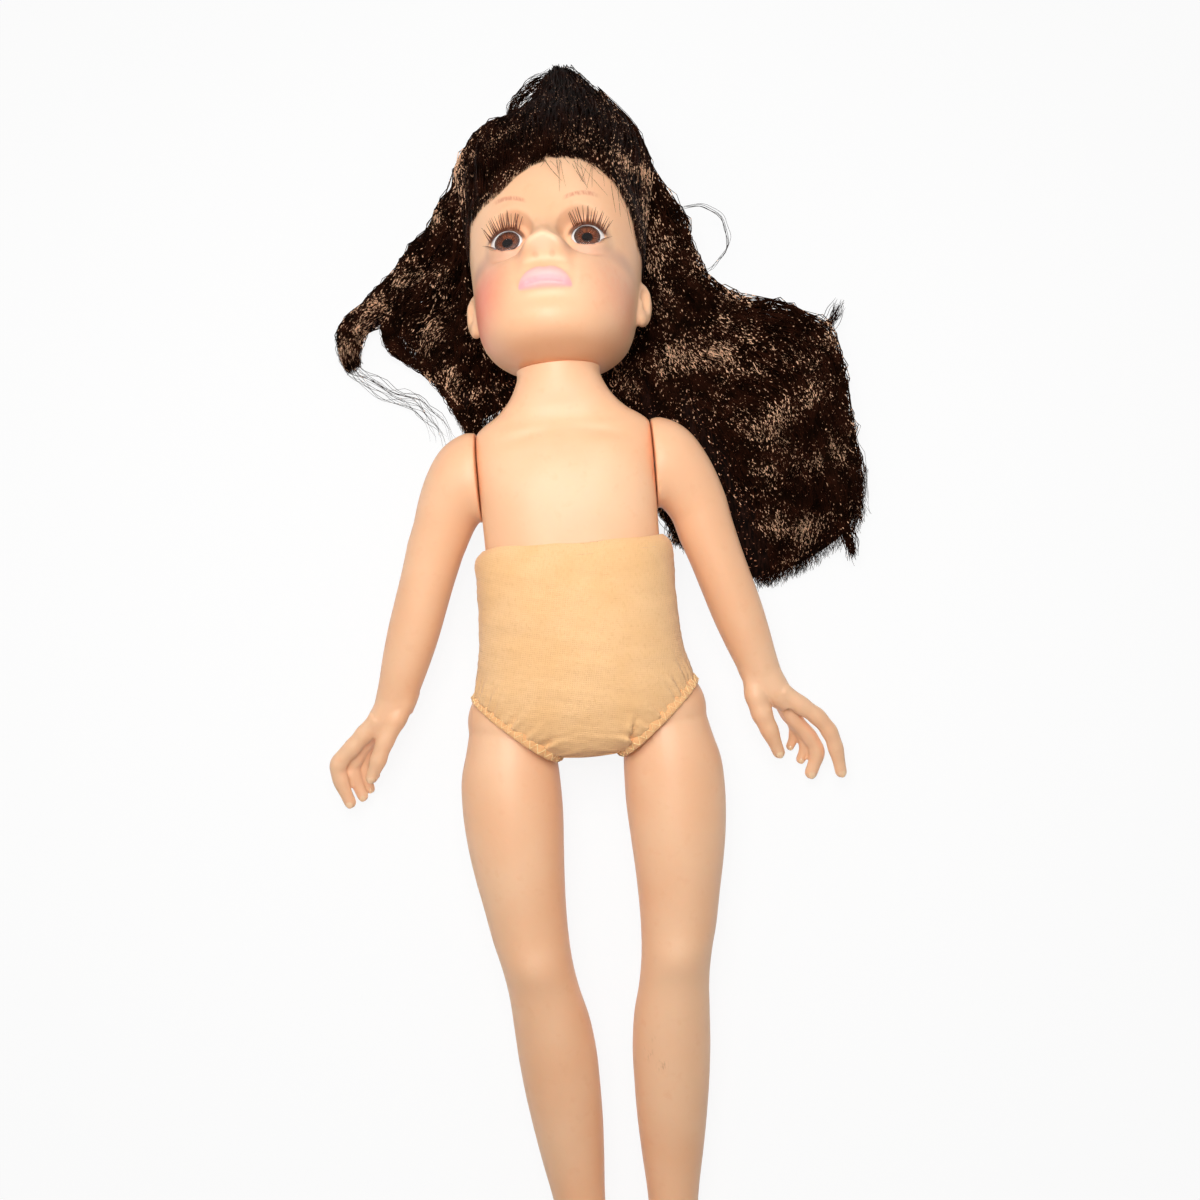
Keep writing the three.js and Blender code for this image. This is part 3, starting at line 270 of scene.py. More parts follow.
def rows_between(table, t):
    """Values at fractional row numbers t of a table, on a Catmull-Rom curve through each column."""
    table, t = np.asarray(table, float), np.asarray(t, float)
    first = np.clip(np.floor(t).astype(int), 0, len(table) - 2)
    rows = (table[np.clip(first + k, 0, len(table) - 1)] for k in (-1, 0, 1, 2))
    return curve(*rows, (t - first)[:, None])


def squircle(angle, power):
    """A point of the unit superellipse: cosine and sine, each raised to 2 / power with its sign kept."""
    c, s = np.cos(angle), np.sin(angle)
    return np.sign(c) * np.abs(c) ** (2 / power), np.sign(s) * np.abs(s) ** (2 / power)


def level_rings(table, t, count, grow=0.0):
    """Level rings from rows of [height, half width, front, back, power]: x and z run round a superellipse."""
    y, half, front, back, power = (column[:, None] for column in rows_between(table, t).T)
    c, s = squircle(full_turn(count, 0.5), power)
    wide, deep = np.maximum(half + grow, 0.05), np.maximum((front - back) / 2 + grow, 0.05)
    return np.stack([wide * c, y + 0 * c, (front + back) / 2 + deep * s], -1)


def level_circles(rows, turn):
    """A level circle of points at the given angles for each row of [height, radius]."""
    height, radius = (np.array(column, float)[:, None] for column in zip(*rows))
    return np.stack([radius * np.cos(turn), 0 * turn + height, radius * np.sin(turn)], -1)


def skinned(rings, place=None, *which):
    """A closed body's points, placed in the frame, with quads between its rings and a fan in each end ring."""
    rows, count = rings.shape[:2]
    corner = np.arange(rows * count).reshape(rows, count)
    beside = np.roll(corner, -1, axis=1)
    quads = np.stack([corner[:-1], beside[:-1], beside[1:], corner[1:]], -1).reshape(-1, 4)
    low = np.stack([beside[0], corner[0], np.full(count, rows * count)], -1)
    high = np.stack([corner[-1], beside[-1], np.full(count, rows * count + 1)], -1)
    points = np.concatenate([rings.reshape(-1, 3), rings[[0, -1]].mean(axis=1)])
    return place(points, *which) if place else points, quads, np.concatenate([low, high])


def outward(points, quads, fans):
    """The same body with its faces turned out, told by the sign of its volume."""
    triangles = np.concatenate([quads[:, [0, 1, 2]], quads[:, [0, 2, 3]], fans])
    a, b, c = (points[triangles[:, k]] for k in range(3))
    if np.einsum("ij,ij->i", a, np.cross(b, c)).sum() < 0:
        quads, fans = quads[:, ::-1], fans[:, ::-1]
    return points, quads, fans


def made(title, bodies):
    """One smooth object from closed bodies whose points are already in the frame's metres."""
    points, quads, fans, start = [], [], [], 0
    for body in bodies:
        corners, fours, threes = outward(*body)
        points.append(corners)
        quads.append(fours + start)
        fans.append(threes + start)
        start += len(corners)
    points, quads, fans = np.concatenate(points), np.concatenate(quads), np.concatenate(fans)
    mesh = bpy.data.meshes.new(title)
    mesh.vertices.add(len(points))
    mesh.vertices.foreach_set("co", points.ravel())
    mesh.loops.add(quads.size + fans.size)
    mesh.loops.foreach_set("vertex_index", np.concatenate([quads.ravel(), fans.ravel()]).astype(np.int32))
    mesh.polygons.add(len(quads) + len(fans))
    starts = np.concatenate([np.arange(len(quads)) * 4, quads.size + np.arange(len(fans)) * 3])
    mesh.polygons.foreach_set("loop_start", starts.astype(np.int32))
    mesh.polygons.foreach_set("use_smooth", np.ones(len(starts), bool))
    mesh.update(calc_edges=True)
    piece = bpy.data.objects.new(title, mesh)
    bpy.context.collection.objects.link(piece)
    return piece


def settled(piece):
    """The piece's modifiers are worked out and kept as its plain mesh."""
    graph = bpy.context.evaluated_depsgraph_get()
    mesh = bpy.data.meshes.new_from_object(piece.evaluated_get(graph))
    piece.modifiers.clear()
    old, piece.data = piece.data, mesh
    bpy.data.meshes.remove(old)
    mesh.materials.clear()
    mesh.polygons.foreach_set("material_index", np.zeros(len(mesh.polygons), np.int32))
    mesh.polygons.foreach_set("use_smooth", np.ones(len(mesh.polygons), bool))
    return piece


def cut(piece, cutters):
    """The cutters' volumes are taken out of the piece."""
    for cutter in cutters:
        change = piece.modifiers.new("cut", "BOOLEAN")
        change.operation, change.object, change.solver = "DIFFERENCE", cutter, "MANIFOLD"
    settled(piece)
    for cutter in cutters:
        bpy.data.objects.remove(cutter)
    return piece


def merged(piece, voxel, rounds):
    """The piece made one skin by a voxel remesh, and softened by rounds of averaging neighbours."""
    remesh = piece.modifiers.new("merge", "REMESH")
    remesh.mode, remesh.voxel_size = "VOXEL", voxel
    soften = piece.modifiers.new("soften", "SMOOTH")
    soften.factor, soften.iterations = 0.5, rounds
    return settled(piece)


def bore_x(x0, x1, up=0):
    """The room for a stem along X: two circles of the bore at a height."""
    turn = full_turn(40)
    ring = np.stack([0 * turn, up + STEM_BORE * np.cos(turn), STEM_BORE * np.sin(turn)], -1)
    return np.stack([ring + (x0, 0, 0), ring + (x1, 0, 0)])


def vinyl(title):
    """Skin-coloured vinyl: faint warm and pale clouds, a fine moulded grain, and a sheen that varies with handling."""
    finish = Finish(title, 0.42, Subsurface_Weight=0.12, Subsurface_Scale=0.004, Subsurface_Radius=(1.0, 0.45, 0.25),
                    Specular_IOR_Level=0.42)
    clouds = finish.noise(26, 3)
    fine = finish.noise(210, 3)
    base = finish.mix(clouds.step(0.35, 0.68), paint(246, 190, 148), paint(250, 200, 160))
    base = finish.mix(fine.step(0.55, 0.75) * 0.25, base, paint(240, 178, 134))
    finish.feed("Roughness", clouds * 0.12 + fine * 0.1 + 0.33)
    finish.bump(finish.noise(2600, 2) * 0.4 + finish.noise(420, 2) * 0.6, 0.00006)
    return finish, base


plate_rings = level_rings(PLATE, np.linspace(1, 10, 150), 160)
x, y, z = np.moveaxis(plate_rings, -1, 0)
# The flat sides, with a softened edge, and the shallow hollow above the collar bones
flat = SHOULDER_FACE - 0.5 * np.log1p(np.exp((SHOULDER_FACE - np.abs(x)) / 0.5))
plate_rings[..., 0] = np.sign(x) * np.clip(flat, 0, SHOULDER_FACE)
collar = ridge(y - 117 + 0.22 * np.abs(x), 2.6) * (z > 0) * ridge(np.abs(x) - 15, 11)
plate_rings[..., 2] -= 0.8 * collar
turn = full_turn(160, 0.5)
neck_rings = level_circles([[NECK_SEAM, NECK_GROOVE], [GROOVE_TOP, NECK_GROOVE], [GROOVE_TOP, NECK_FLANGE],
                            [NECK_TOP, NECK_FLANGE], [NECK_TOP, NECK_BORE]], turn)
plate = made("chest_plate_vinyl", [skinned(np.concatenate([plate_rings, neck_rings]), torso_place)])
core = level_rings(PLATE, np.linspace(0, 8.6, 60), 96, -PLATE_WALL)
core[..., 0] = np.clip(core[..., 0], PLATE_WALL - SHOULDER_FACE, SHOULDER_FACE - PLATE_WALL)
neck_bore = level_circles([[118, NECK_BORE], [152, NECK_BORE]], turn[::4])
cut(plate, [
    made("core", [skinned(core, torso_place)]),
    made("arm_bore", [skinned(bore_x(-40, 40, SHOULDER_UP), torso_place)]),
    made("neck_bore", [skinned(neck_bore, torso_place)]),
])
finish, base = vinyl("chest_vinyl")
finish.feed("Base Color", base)
plate.data.materials.append(finish.material)
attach(plate, "torso")
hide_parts("chest_plate")


# Torso cover.
# Skin-coloured woven cotton, stuffed with fibre. Its folded upper edge is drawn round the chest plate by a tie, its
# back is pressed flat where the doll lies on it, and each leg opening is gathered on elastic round the thigh.
HIP, HIP_BALL, BALL_ROOM = np.array([30.0, 0, 0]), 19, 19.6
TORSO = [
    [-15.5, 2, 1, -1, 2.3], [-14.8, 12, 13, -16, 2.3], [-12.2, 24, 21, -24.4, 2.3], [-7, 37, 25.6, -29.8, 2.35],
    [1, 43.6, 28, -30.8, 2.35], [12, 45.2, 29.4, -30.6, 2.35], [24, 42.8, 29.4, -28.2, 2.35],
    [38, 41.4, 29, -27.4, 2.4], [52, 41, 28, -26.4, 2.45], [62, 41, 27, -25.4, 2.5], [67.5, 40.4, 26, -24.6, 2.5],
    [70.5, 37.8, 24.4, -23.2, 2.5],
]
opening_out, opening_in = np.array([46.0, 14, 0]), np.array([13.0, -13, 0])
opening_along = (opening_out - opening_in) / np.linalg.norm(opening_out - opening_in)
opening_normal = np.array([opening_along[1], -opening_along[0], 0])
opening_depth = opening_normal @ opening_out


def waves(points, seed, pitch):
    """A smooth random height at each point: eight sine waves of random direction and phase, about pitch long."""
    chance = np.random.default_rng(seed)
    direction = chance.normal(size=(8, 3))
    direction *= (2 * np.pi / pitch) * chance.uniform(0.6, 1.5, (8, 1)) / np.linalg.norm(direction, axis=1)[:, None]
    return np.sin(points @ direction.T + chance.uniform(0, 6.28, 8)).sum(-1) / 8


def smooth(value, low, high):
    """0 at or below low and 1 at or above high, with a smooth change between them; low may be the larger."""
    share = np.clip((value - low) / (high - low), 0, 1)
    return share * share * (3 - 2 * share)


def beyond_opening(points):
    """How far each point lies past the plane of its side's leg opening, in millimetres, towards the thigh."""
    folded = points.copy()
    folded[..., 0] = np.abs(folded[..., 0])
    return folded @ opening_normal - opening_depth, folded


def resting(body, lowest=0.0):
    """A body whose points are kept above the surface that the doll lies on."""
    points, quads, fans = body
    return np.maximum(points, (-np.inf, -np.inf, lowest)), quads, fans


outer = level_rings(TORSO, np.concatenate([np.linspace(0, 3, 60), np.linspace(3.03, 11, 150)]), 260)
x, y, z = np.moveaxis(outer, -1, 0)
around = np.arctan2(z, x)
# Gathers run away from the elastic, a deep fold rises from the end of the left binding and slack folds cross the belly
past, folded = beyond_opening(outer)
gather = ridge(past, 7.5) * (past < 2)
away = np.arctan2(folded[..., 2], (folded - HIP) @ opening_along)
puckers = gather * (0.55 * np.sin(away * 27 + 1.7 * np.sin(away * 5)) + 0.35 * np.sin(away * 44))
along_fold = (z > 0) * smooth(y, -14, -11) * smooth(y, 4, -4)
fold = -1.5 * ridge(x - 18.5 - 0.16 * (y + 6), 1.0) + 1.1 * ridge(x - 15.8 - 0.16 * (y + 6), 1.5)
fold -= 0.8 * ridge(x + 16.5 - 0.2 * (y + 6), 1.0)
slack = 1.3 * waves(outer, 4, 46) + 0.5 * waves(outer * (1, 1.7, 1), 9, 21) + 0.22 * waves(outer * (1, 2.4, 1), 5, 9)
crease = -0.5 * ridge(y + 2 + 0.25 * np.abs(x), 1.5) * ridge(np.abs(x) - 12, 7) * (z > 0)
normal = np.stack([np.cos(around), 0 * y, np.sin(around)], -1)
outer = outer + normal * (puckers + fold * along_fold + slack * np.clip((70 - y) / 8, 0, 1) + crease - 0.4)[..., None]
outer[..., 1] += 0.7 * np.sin(around * 3 + 0.6) * np.clip((y - 60) / 10, 0, 1)
outer[..., 1] += 0.35 * np.sin(around * 8) * (y > 66)
# Past the opening, the cloth is turned in and lies round the thigh's ball
past, folded = beyond_opening(outer)
side = np.sign(outer[..., :1])
folded = folded - np.maximum(past, 0)[..., None] * opening_normal
offset = folded - HIP
inward = offset @ opening_normal
beside = np.sqrt(np.maximum((offset ** 2).sum(-1) - inward ** 2, 0))
sunk = np.sqrt(np.maximum(BALL_ROOM ** 2 - beside ** 2, 0)) + inward
sunk = np.where((past > -0.01) & (beside < BALL_ROOM), np.maximum(sunk, 0), 0)
folded = folded - sunk[..., None] * opening_normal
mirrored = np.concatenate([folded[..., :1] * side, folded[..., 1:]], -1)
outer = np.where((past > 0)[..., None], mirrored, outer)
# The hem turns in over the plate, and the pocket for the plate goes down inside it
turn_in = level_rings(PLATE, np.linspace(2.2, 0.45, 24), 260, 0.5)
turn_in[..., 1] = np.linspace(69.6, 51.3, 24)[:, None]
hem_top = (outer[-1] + turn_in[0]) / 2
hem_top[:, 1] += 0.5
middle = turn_in[-1:] * (0.5, 1, 0.5)
cover_rings = np.concatenate([outer, hem_top[None], turn_in, middle])
cover = made("torso_cotton", [resting(skinned(cover_rings, torso_place))])


def cotton(title, tone):
    """Plain woven cotton: fine crossed threads, slubs where a thread is thicker, soft stains and a matt nap."""
    finish = Finish(title, 0.92, Sheen_Weight=0.25, Sheen_Roughness=0.5, Specular_IOR_Level=0.2)
    place = finish.place()
    warp, weft = (
        finish.node("ShaderNodeTexWave", {"bands_direction": way},
                    {"Vector": place, "Scale": scale, "Distortion": 2.2, "Detail": 2.0})
        for way, scale in (("X", 460.0), ("Y", 430.0))
    )
    threads = warp * 0.5 + weft * 0.5
    slubs = finish.noise(1100, 4, finish.stretched((1.0, 0.6, 1.0)))
    stained, shaded, deep = (
        tuple(np.array(tone) * share) for share in ((0.95, 0.9, 0.82, 1), (0.86, 0.78, 0.68, 1), (0.8, 0.68, 0.55, 1))
    )
    base = finish.mix(finish.noise(38, 4).step(0.35, 0.7), tone, stained)
    base = finish.mix(slubs.step(0.52, 0.72) * 0.5, base, shaded)
    base = finish.mix((1 - threads) * 0.22, base, deep)
    finish.feed("Base Color", base)
    finish.feed("Roughness", slubs * 0.15 + 0.8)
    finish.bump(threads * 0.6 + slubs * 0.8, 0.00022)
    return finish


cover.data.materials.append(cotton("torso_cotton", paint(250, 203, 150)).material)
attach(cover, "torso")
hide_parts("torso_cover", "torso_stuffing")


# Leg bindings.
# A knitted elastic edge about 4 mm wide, sewn to the cloth round each leg opening with a zigzag of thread.
EDGE_STEPS, STITCH_STEPS = 220, 880
ELASTIC_HALF, ELASTIC_THICK, THREAD_R, STITCH_SWING = 2.1, 0.9, 0.25, 1.5
FRONT = np.array([0, 0, 1.0])


def inside_torso(points):
    """True where a point is inside the cloth's outline: |x / half|^power + |z / deep|^power < 1 at its height."""
    heights = rows_between(TORSO, np.linspace(0, 11, 400))
    half, front, back, power = (np.interp(points[..., 1], heights[:, 0], heights[:, k]) for k in (1, 2, 3, 4))
    share = (np.abs(points[..., 0]) / half) ** power
    share += (np.abs(points[..., 2] - (front + back) / 2) / ((front - back) / 2)) ** power
    return (share < 1) & (points[..., 1] > -15.5)


def opening_edge(count):
    """Points round a leg opening's edge, found by halving along each ray from the hip, and the rays themselves."""
    hub = HIP + opening_normal * (opening_depth - HIP @ opening_normal)
    turn = full_turn(count)
    rays = np.cos(turn)[:, None] * opening_along + np.sin(turn)[:, None] * FRONT
    near, far = np.zeros((count, 1)), np.full((count, 1), 60.0)
    for _ in range(24):
        reach = (near + far) / 2
        inside = inside_torso(hub + rays * reach)[:, None]
        near, far = np.where(inside, reach, near), np.where(inside, far, reach)
    return hub + rays * near, rays


def band(path, out, across, half_wide, half_thick, count=14, power=2.6):
    """A closed band in the frame: a superellipse carried round a looped path, with its width along one direction."""
    c, s = squircle(full_turn(count), power)
    rings = path[:, None] + half_wide * c[:, None] * across[:, None] + half_thick * s[:, None] * out[:, None]
    corner = np.arange(rings.shape[0] * count).reshape(rings.shape[:2])
    ahead, beside = np.roll(corner, -1, axis=0), np.roll(corner, -1, axis=1)
    both = np.roll(ahead, -1, axis=1)
    quads = np.stack([corner, beside, both, ahead], -1).reshape(-1, 4)
    return torso_place(rings.reshape(-1, 3)), quads, np.zeros((0, 3), int)


def along_loop(values, t):
    """A looped table's rows read at fractional places t."""
    whole = np.concatenate([values, values[:1]])
    return np.stack([np.interp(t, np.arange(len(whole)), whole[:, k]) for k in range(3)], -1)


elastic = cotton("knitted_elastic", paint(247, 192, 138))
thread = Finish("sewing_thread", 0.6)
thread.feed("Base Color", thread.mix(thread.noise(900, 2), paint(255, 228, 172), paint(246, 204, 144)))
thread.bump(thread.noise(2200, 2), 0.0001)
edge, rays = opening_edge(EDGE_STEPS)
for name, side in (("left", 1), ("right", -1)):
    mirror = np.array([side, 1, 1])
    ripple = 0.25 * np.sin(np.arange(EDGE_STEPS) * 2 * np.pi * 31 / EDGE_STEPS)[:, None]
    path = (edge - rays * (ELASTIC_THICK + ripple) + opening_normal * 0.7) * mirror
    across = np.tile(opening_normal * mirror, (EDGE_STEPS, 1))
    elastic_band = band(path, rays * mirror, across, ELASTIC_HALF, ELASTIC_THICK)
    binding = made(f"leg_elastic_{name}", [resting(elastic_band)])
    binding.data.materials.append(elastic.material)
    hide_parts(f"leg_binding_{name}")
    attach(binding, "torso")
    # Zigzag stitches: one closed wavy thread on the outside of the elastic
    fine = np.arange(STITCH_STEPS) / 4
    swing = (np.abs((fine * 0.4) % 2 - 1) * 2 - 1)[:, None]
    fine_out = along_loop(rays, fine) * mirror
    seam = along_loop(path, fine) + fine_out * ELASTIC_THICK + opening_normal * mirror * swing * STITCH_SWING
    across = np.tile(opening_normal * mirror, (STITCH_STEPS, 1))
    stitches = band(seam, fine_out, across, THREAD_R, THREAD_R, 5, 2)
    zigzag = made(f"zigzag_thread_{name}", [resting(stitches, 0.0003)])
    zigzag.data.materials.append(thread.material)
    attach(zigzag, "torso")


# Legs.
# One hollow vinyl casting each: a ball that turns in the leg opening, thigh, knee and calf without a joint, and a foot
# with five toes. Scuffs lie on the left calf, where the photograph shows them.
LEG = [
    [-2, 0.6, 17.9, 0, 17.9], [-11, 2.2, 18.3, 0, 18.8], [-22, 3.2, 20.0, 0, 19.6], [-36, 3.2, 20.3, 0, 19.8],
    [-50, 2.9, 19.3, 0.2, 19.2], [-62, 2.2, 17.9, 0.4, 18.2], [-74, 1.1, 16.4, 0.6, 16.9], [-86, -0.2, 15.2, 0.9, 15.8],
    [-97, -2.1, 14.1, 1.3, 15.2], [-108, -4.0, 14.1, 0.4, 14.6], [-120, -5.9, 15.2, -1.2, 15.4],
    [-133, -7.2, 15.6, -2.0, 15.6], [-146, -8.2, 15.0, -1.8, 14.8], [-159, -9.3, 13.9, -1.4, 13.6],
    [-172, -10.3, 12.3, -1.0, 12.0], [-186, -11.4, 10.3, -0.6, 10.4], [-198, -12.2, 9.2, -0.2, 9.8],
    [-206, -12.6, 9.0, -0.4, 10.0],
]
FOOT = [
    [-13.4, -12.6, 1, -209, -211], [-12.4, -12.6, 6.2, -204, -216.6], [-8, -12.6, 9.2, -199, -219.4],
    [1, -12.5, 10.2, -194, -220], [12, -12.3, 10.4, -195, -220], [22, -12.0, 11.2, -201.5, -219],
    [33, -11.4, 12.7, -207, -219.6], [41, -11.2, 12.8, -210.4, -220], [45, -11.2, 11.8, -212, -219.6],
    [46.5, -11.2, 10.0, -213, -218.6],
]
# Toes: across from the foot's middle line, radius, forward
TOES = [[-8.6, 4.3, 47.2], [-3, 3.2, 47.6], [1.8, 2.9, 46.6], [6.2, 2.7, 45], [10, 2.5, 42.6]]
LEG_LIFT, SOLE, TOE_LINE = -6.6, -219.6, -11.4
# Scuffs: middle in the frame's metres, radius
SCUFFS = [((0.0118, -0.129, 0.031), 0.0045), ((0.0180, -0.1335, 0.033), 0.004), ((0.0150, -0.124, 0.033), 0.003)]


def globe(centre, radii, rows=26, count=36):
    """A closed ellipsoid: rings of cosine by latitude, its poles along X."""
    latitude = np.linspace(-np.pi / 2 + 0.02, np.pi / 2 - 0.02, rows)[:, None]
    turn, wide = full_turn(count), np.cos(latitude)
    rings = np.stack([np.sin(latitude) + 0 * turn, wide * np.cos(turn), wide * np.sin(turn)], -1)
    return rings * radii + centre


def leg_place(points, side):
    """The leg's millimetres, from the hip, as metres in the frame: the legs lie lower than the propped torso."""
    return torso_place(turned(points, LEG_LIFT) * (side, 1, 1) + HIP * (side, 1, 1))


def toe_part(toe, offset, radii, *detail):
    """An ellipsoid at a toe: its offset from the sole and its radii are shares of the toe's own radius."""
    across, radius, forward = toe
    middle = np.array([TOE_LINE + across, SOLE, forward]) + radius * np.array(offset)
    return globe(middle, radius * np.array(radii), *detail)


turn = full_turn(96)
y, out, half, ahead, deep = (column[:, None] for column in rows_between(LEG, np.linspace(0, 17, 190)).T)
from_front = (turn - np.pi / 2 + np.pi) % (2 * np.pi) - np.pi
knee = 1.1 * ridge(y + 96, 8) * ridge(from_front, 0.7)
back_crease = -0.7 * ridge(y + 103, 2) * (np.sin(turn) < -0.3)
leg_rings = np.stack([out + (half + knee) * np.cos(turn), y + 0 * turn,
                      ahead + (deep + knee + back_crease) * np.sin(turn)], -1)
z, out, half, high, low = (column[:, None] for column in rows_between(FOOT, np.linspace(0, 9, 90)).T)
c, s = squircle(turn[::2], 2.5)
foot_rings = np.stack([out + half * c, (high + low) / 2 + (high - low) / 2 * s, z + 0 * c], -1)
arch = 1.8 * ridge(foot_rings[..., 2] - 14, 11) * (foot_rings[..., 1] < -216) * (foot_rings[..., 0] < -12)
foot_rings[..., 1] += arch
leg_vinyl, base = vinyl("leg_vinyl")
scratches = leg_vinyl.noise(1500, 3, leg_vinyl.stretched((1.0, 0.25, 1.0)))
first, second, third = (leg_vinyl.distance(centre).step(reach, 0.0) for centre, reach in SCUFFS)
scuffed = (first + second + third) * scratches.step(0.5, 0.68)
leg_vinyl.feed("Base Color", leg_vinyl.mix(scuffed * 0.5, base, paint(120, 70, 45)))
for name, side in (("left", 1), ("right", -1)):
    toes = [toe_part(toe, (0, 0.95, 0), (1, 0.95, 1.35)) for toe in TOES]
    shapes = [leg_rings, globe((0, 0, 0), (HIP_BALL,) * 3, 50, 72), foot_rings, *toes]
    leg = made(f"leg_casting_{name}", [skinned(rings, leg_place, side) for rings in shapes])
    cut(leg, [made("bore", [skinned(bore_x(-20, -9.7), leg_place, side)])])
    merged(leg, voxel=0.00095, rounds=4)
    leg.data.materials.append(leg_vinyl.material)
    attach(leg, f"leg_{name}")
    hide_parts(f"leg_{name}")
    # Toenails: thin curved plates set in the tops of the toes
    nails = [toe_part(toe, (0, 1.72, 0.62), (0.5, 0.26, 0.52), 12, 18) for toe in TOES]
    toenails = made(f"toenails_{name}", [skinned(nail, leg_place, side) for nail in nails])
    toenails.data.materials.append(leg_vinyl.material)
    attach(toenails, f"leg_{name}")


# Arms.
# One hollow vinyl casting each, flat where it turns against the chest plate, with a sculpted hand: the fingers curl in
# and the thumb stands in front. The two hands differ a little, as in the photograph.
ARM_LIFT, ARM_ROOT, WRIST = 5.5, np.array([46.3, 0, 0]), 94
ARM = [
    [30, 11.6, 12.0], [42, 11.0, 11.4], [54, 10.8, 11.0], [66, 10.6, 10.4], [78, 9.8, 9.6], [88, 8.8, 8.6],
    [94, 8.4, 8.0], [99, 8.2, 7.6],
]
CAP = [
    [35.8, 0, 0, 18, 15.8], [38.6, 0.2, 6, 18.4, 16.2], [43, 2.4, 22, 17.0, 15.8], [47, 7.6, 45, 14.4, 14.8],
    [50.2, 13.4, 60, 12.9, 13.6], [53, 20, 70, 12, 12.6],
]
HANDS = {
    "left": {
        "splay": 17,
        "palm": [[-4, -0.6, 0, 8.2, 7.6], [4, 0.2, 0, 8.2, 8], [11, 2.6, -0.8, 6.8, 8.8], [18, 5.6, -1.6, 5, 8]],
        "fingers": [
            [[10, 4.6, 4, 4], [19.2, 10.4, 4, 3.8], [26, 14.8, 4, 3.6], [34, 17.4, 3.8, 3.4], [42, 17.4, 3.6, 3.2],
             [52, 16, 3.6, 2.4]],
            [[12, 3.6, -0.4, 3.6], [24, 5.8, -0.8, 3.5], [34, 9.3, -1, 3.3], [41.9, 10, -1.2, 3.3],
             [49.4, 4.6, -1.2, 2.6]],
            [[12, 3.2, -4, 3.4], [23, 4.8, -4.6, 3.2], [32, 7.4, -5, 3], [38.6, 7, -5.2, 2.8], [43.6, 3, -5.2, 2]],
            [[11, 3, -7, 3], [20, 4.2, -7.8, 2.8], [28, 5.8, -8.2, 2.6], [33.6, 4.4, -8.4, 2.4], [37.6, 1, -8.4, 1.8]],
        ],
        "thumb": [[0, -3.4, 2, 5], [8, -5.6, 4, 4.8], [16, -6.2, 5, 4.4], [24, -5.8, 5.4, 3.7], [34, -5.5, 5, 2.5]],
    },
    "right": {
        "splay": 20.5,
        "palm": [[-4, -0.8, 0, 8.2, 7.6], [4, 0, 0, 8, 8], [11, 2.8, -0.8, 6.8, 8.8], [18, 6.4, -1.6, 5, 8]],
        "fingers": [
            [[10, 4.6, 4, 4], [18, 8.6, 4, 3.8], [24.4, 11.8, 4, 3.6], [33, 15.6, 3.8, 3.6], [40, 13, 3.6, 3.2],
             [48, 7, 3.6, 2.4]],
            [[12, 4, -0.4, 3.6], [21, 7.4, -0.6, 3.5], [31.4, 10.2, -0.8, 3.2], [37.4, 9.2, -1, 3],
             [45.6, 3.2, -1, 2.2]],
            [[12, 3.6, -4, 3.4], [21, 6, -4.6, 3.2], [29.4, 7.4, -5, 2.9], [35.6, 6.6, -5, 2.7], [43, 1.4, -5, 1.9]],
            [[11, 3.2, -7, 3], [18.6, 5, -7.8, 2.8], [26, 5.8, -8.2, 2.5], [32, 4.8, -8.2, 2.3], [37.6, 1, -8.2, 1.7]],
        ],
        "thumb": [[0, -3.6, 2, 5], [8, -2.4, 4.2, 4.6], [18.2, -0.8, 6, 3.7], [26.4, -0.2, 6.6, 3.4],
                  [34, 0.6, 6.4, 2.5]],
    },
}


def arm_place(points, name):
    """The arm's millimetres, from the shoulder's height on the middle line, as metres in the frame."""
    side = 1 if name == "left" else -1
    return torso_place(turned(points * (side, 1, 1), ARM_LIFT) + (0, SHOULDER_UP, 0))


def arm_axes(name):
    """The arm's line and its outward direction, which the splay turns in the X-Y plane."""
    angle = math.radians(HANDS[name]["splay"])
    return np.array([math.sin(angle), -math.cos(angle), 0]), np.array([math.cos(angle), math.sin(angle), 0])


def hand_points(name, rows):
    """Rows of [along from the wrist, outward, towards the front] as points of the arm's frame."""
    along, out = arm_axes(name)
    wrist = ARM_ROOT + along * WRIST
    return wrist + rows[:, :1] * along + rows[:, 1:2] * out + rows[:, 2:3] * FRONT


def finger(name, table, count=28):
    """A tube along a Catmull-Rom path with swelling joints, its end rounded by three shrinking rings."""
    t = np.linspace(0, len(table) - 1, 12 * len(table))
    values = rows_between(table, t)
    centre = hand_points(name, values)
    radius = values[:, 3] * (1 + 0.045 * np.cos(2 * np.pi * t))
    ahead = np.gradient(centre, axis=0)
    ahead /= np.linalg.norm(ahead, axis=1)[:, None]
    side = np.cross(FRONT, ahead)
    side /= np.linalg.norm(side, axis=1)[:, None]
    up = np.cross(ahead, side)
    tip = np.sin(np.linspace(0.2, 1.0, 5) * np.pi / 2)
    centre = np.concatenate([centre, centre[-1] + ahead[-1] * radius[-1] * tip[:, None]])
    radius = np.concatenate([radius, radius[-1] * np.sqrt(np.maximum(1 - tip ** 2, 0.0004))])
    side, up = np.concatenate([side, np.tile(side[-1], (5, 1))]), np.concatenate([up, np.tile(up[-1], (5, 1))])
    turn = full_turn(count)[:, None]
    return centre[:, None] + radius[:, None, None] * (np.cos(turn) * side[:, None] + np.sin(turn) * up[:, None])


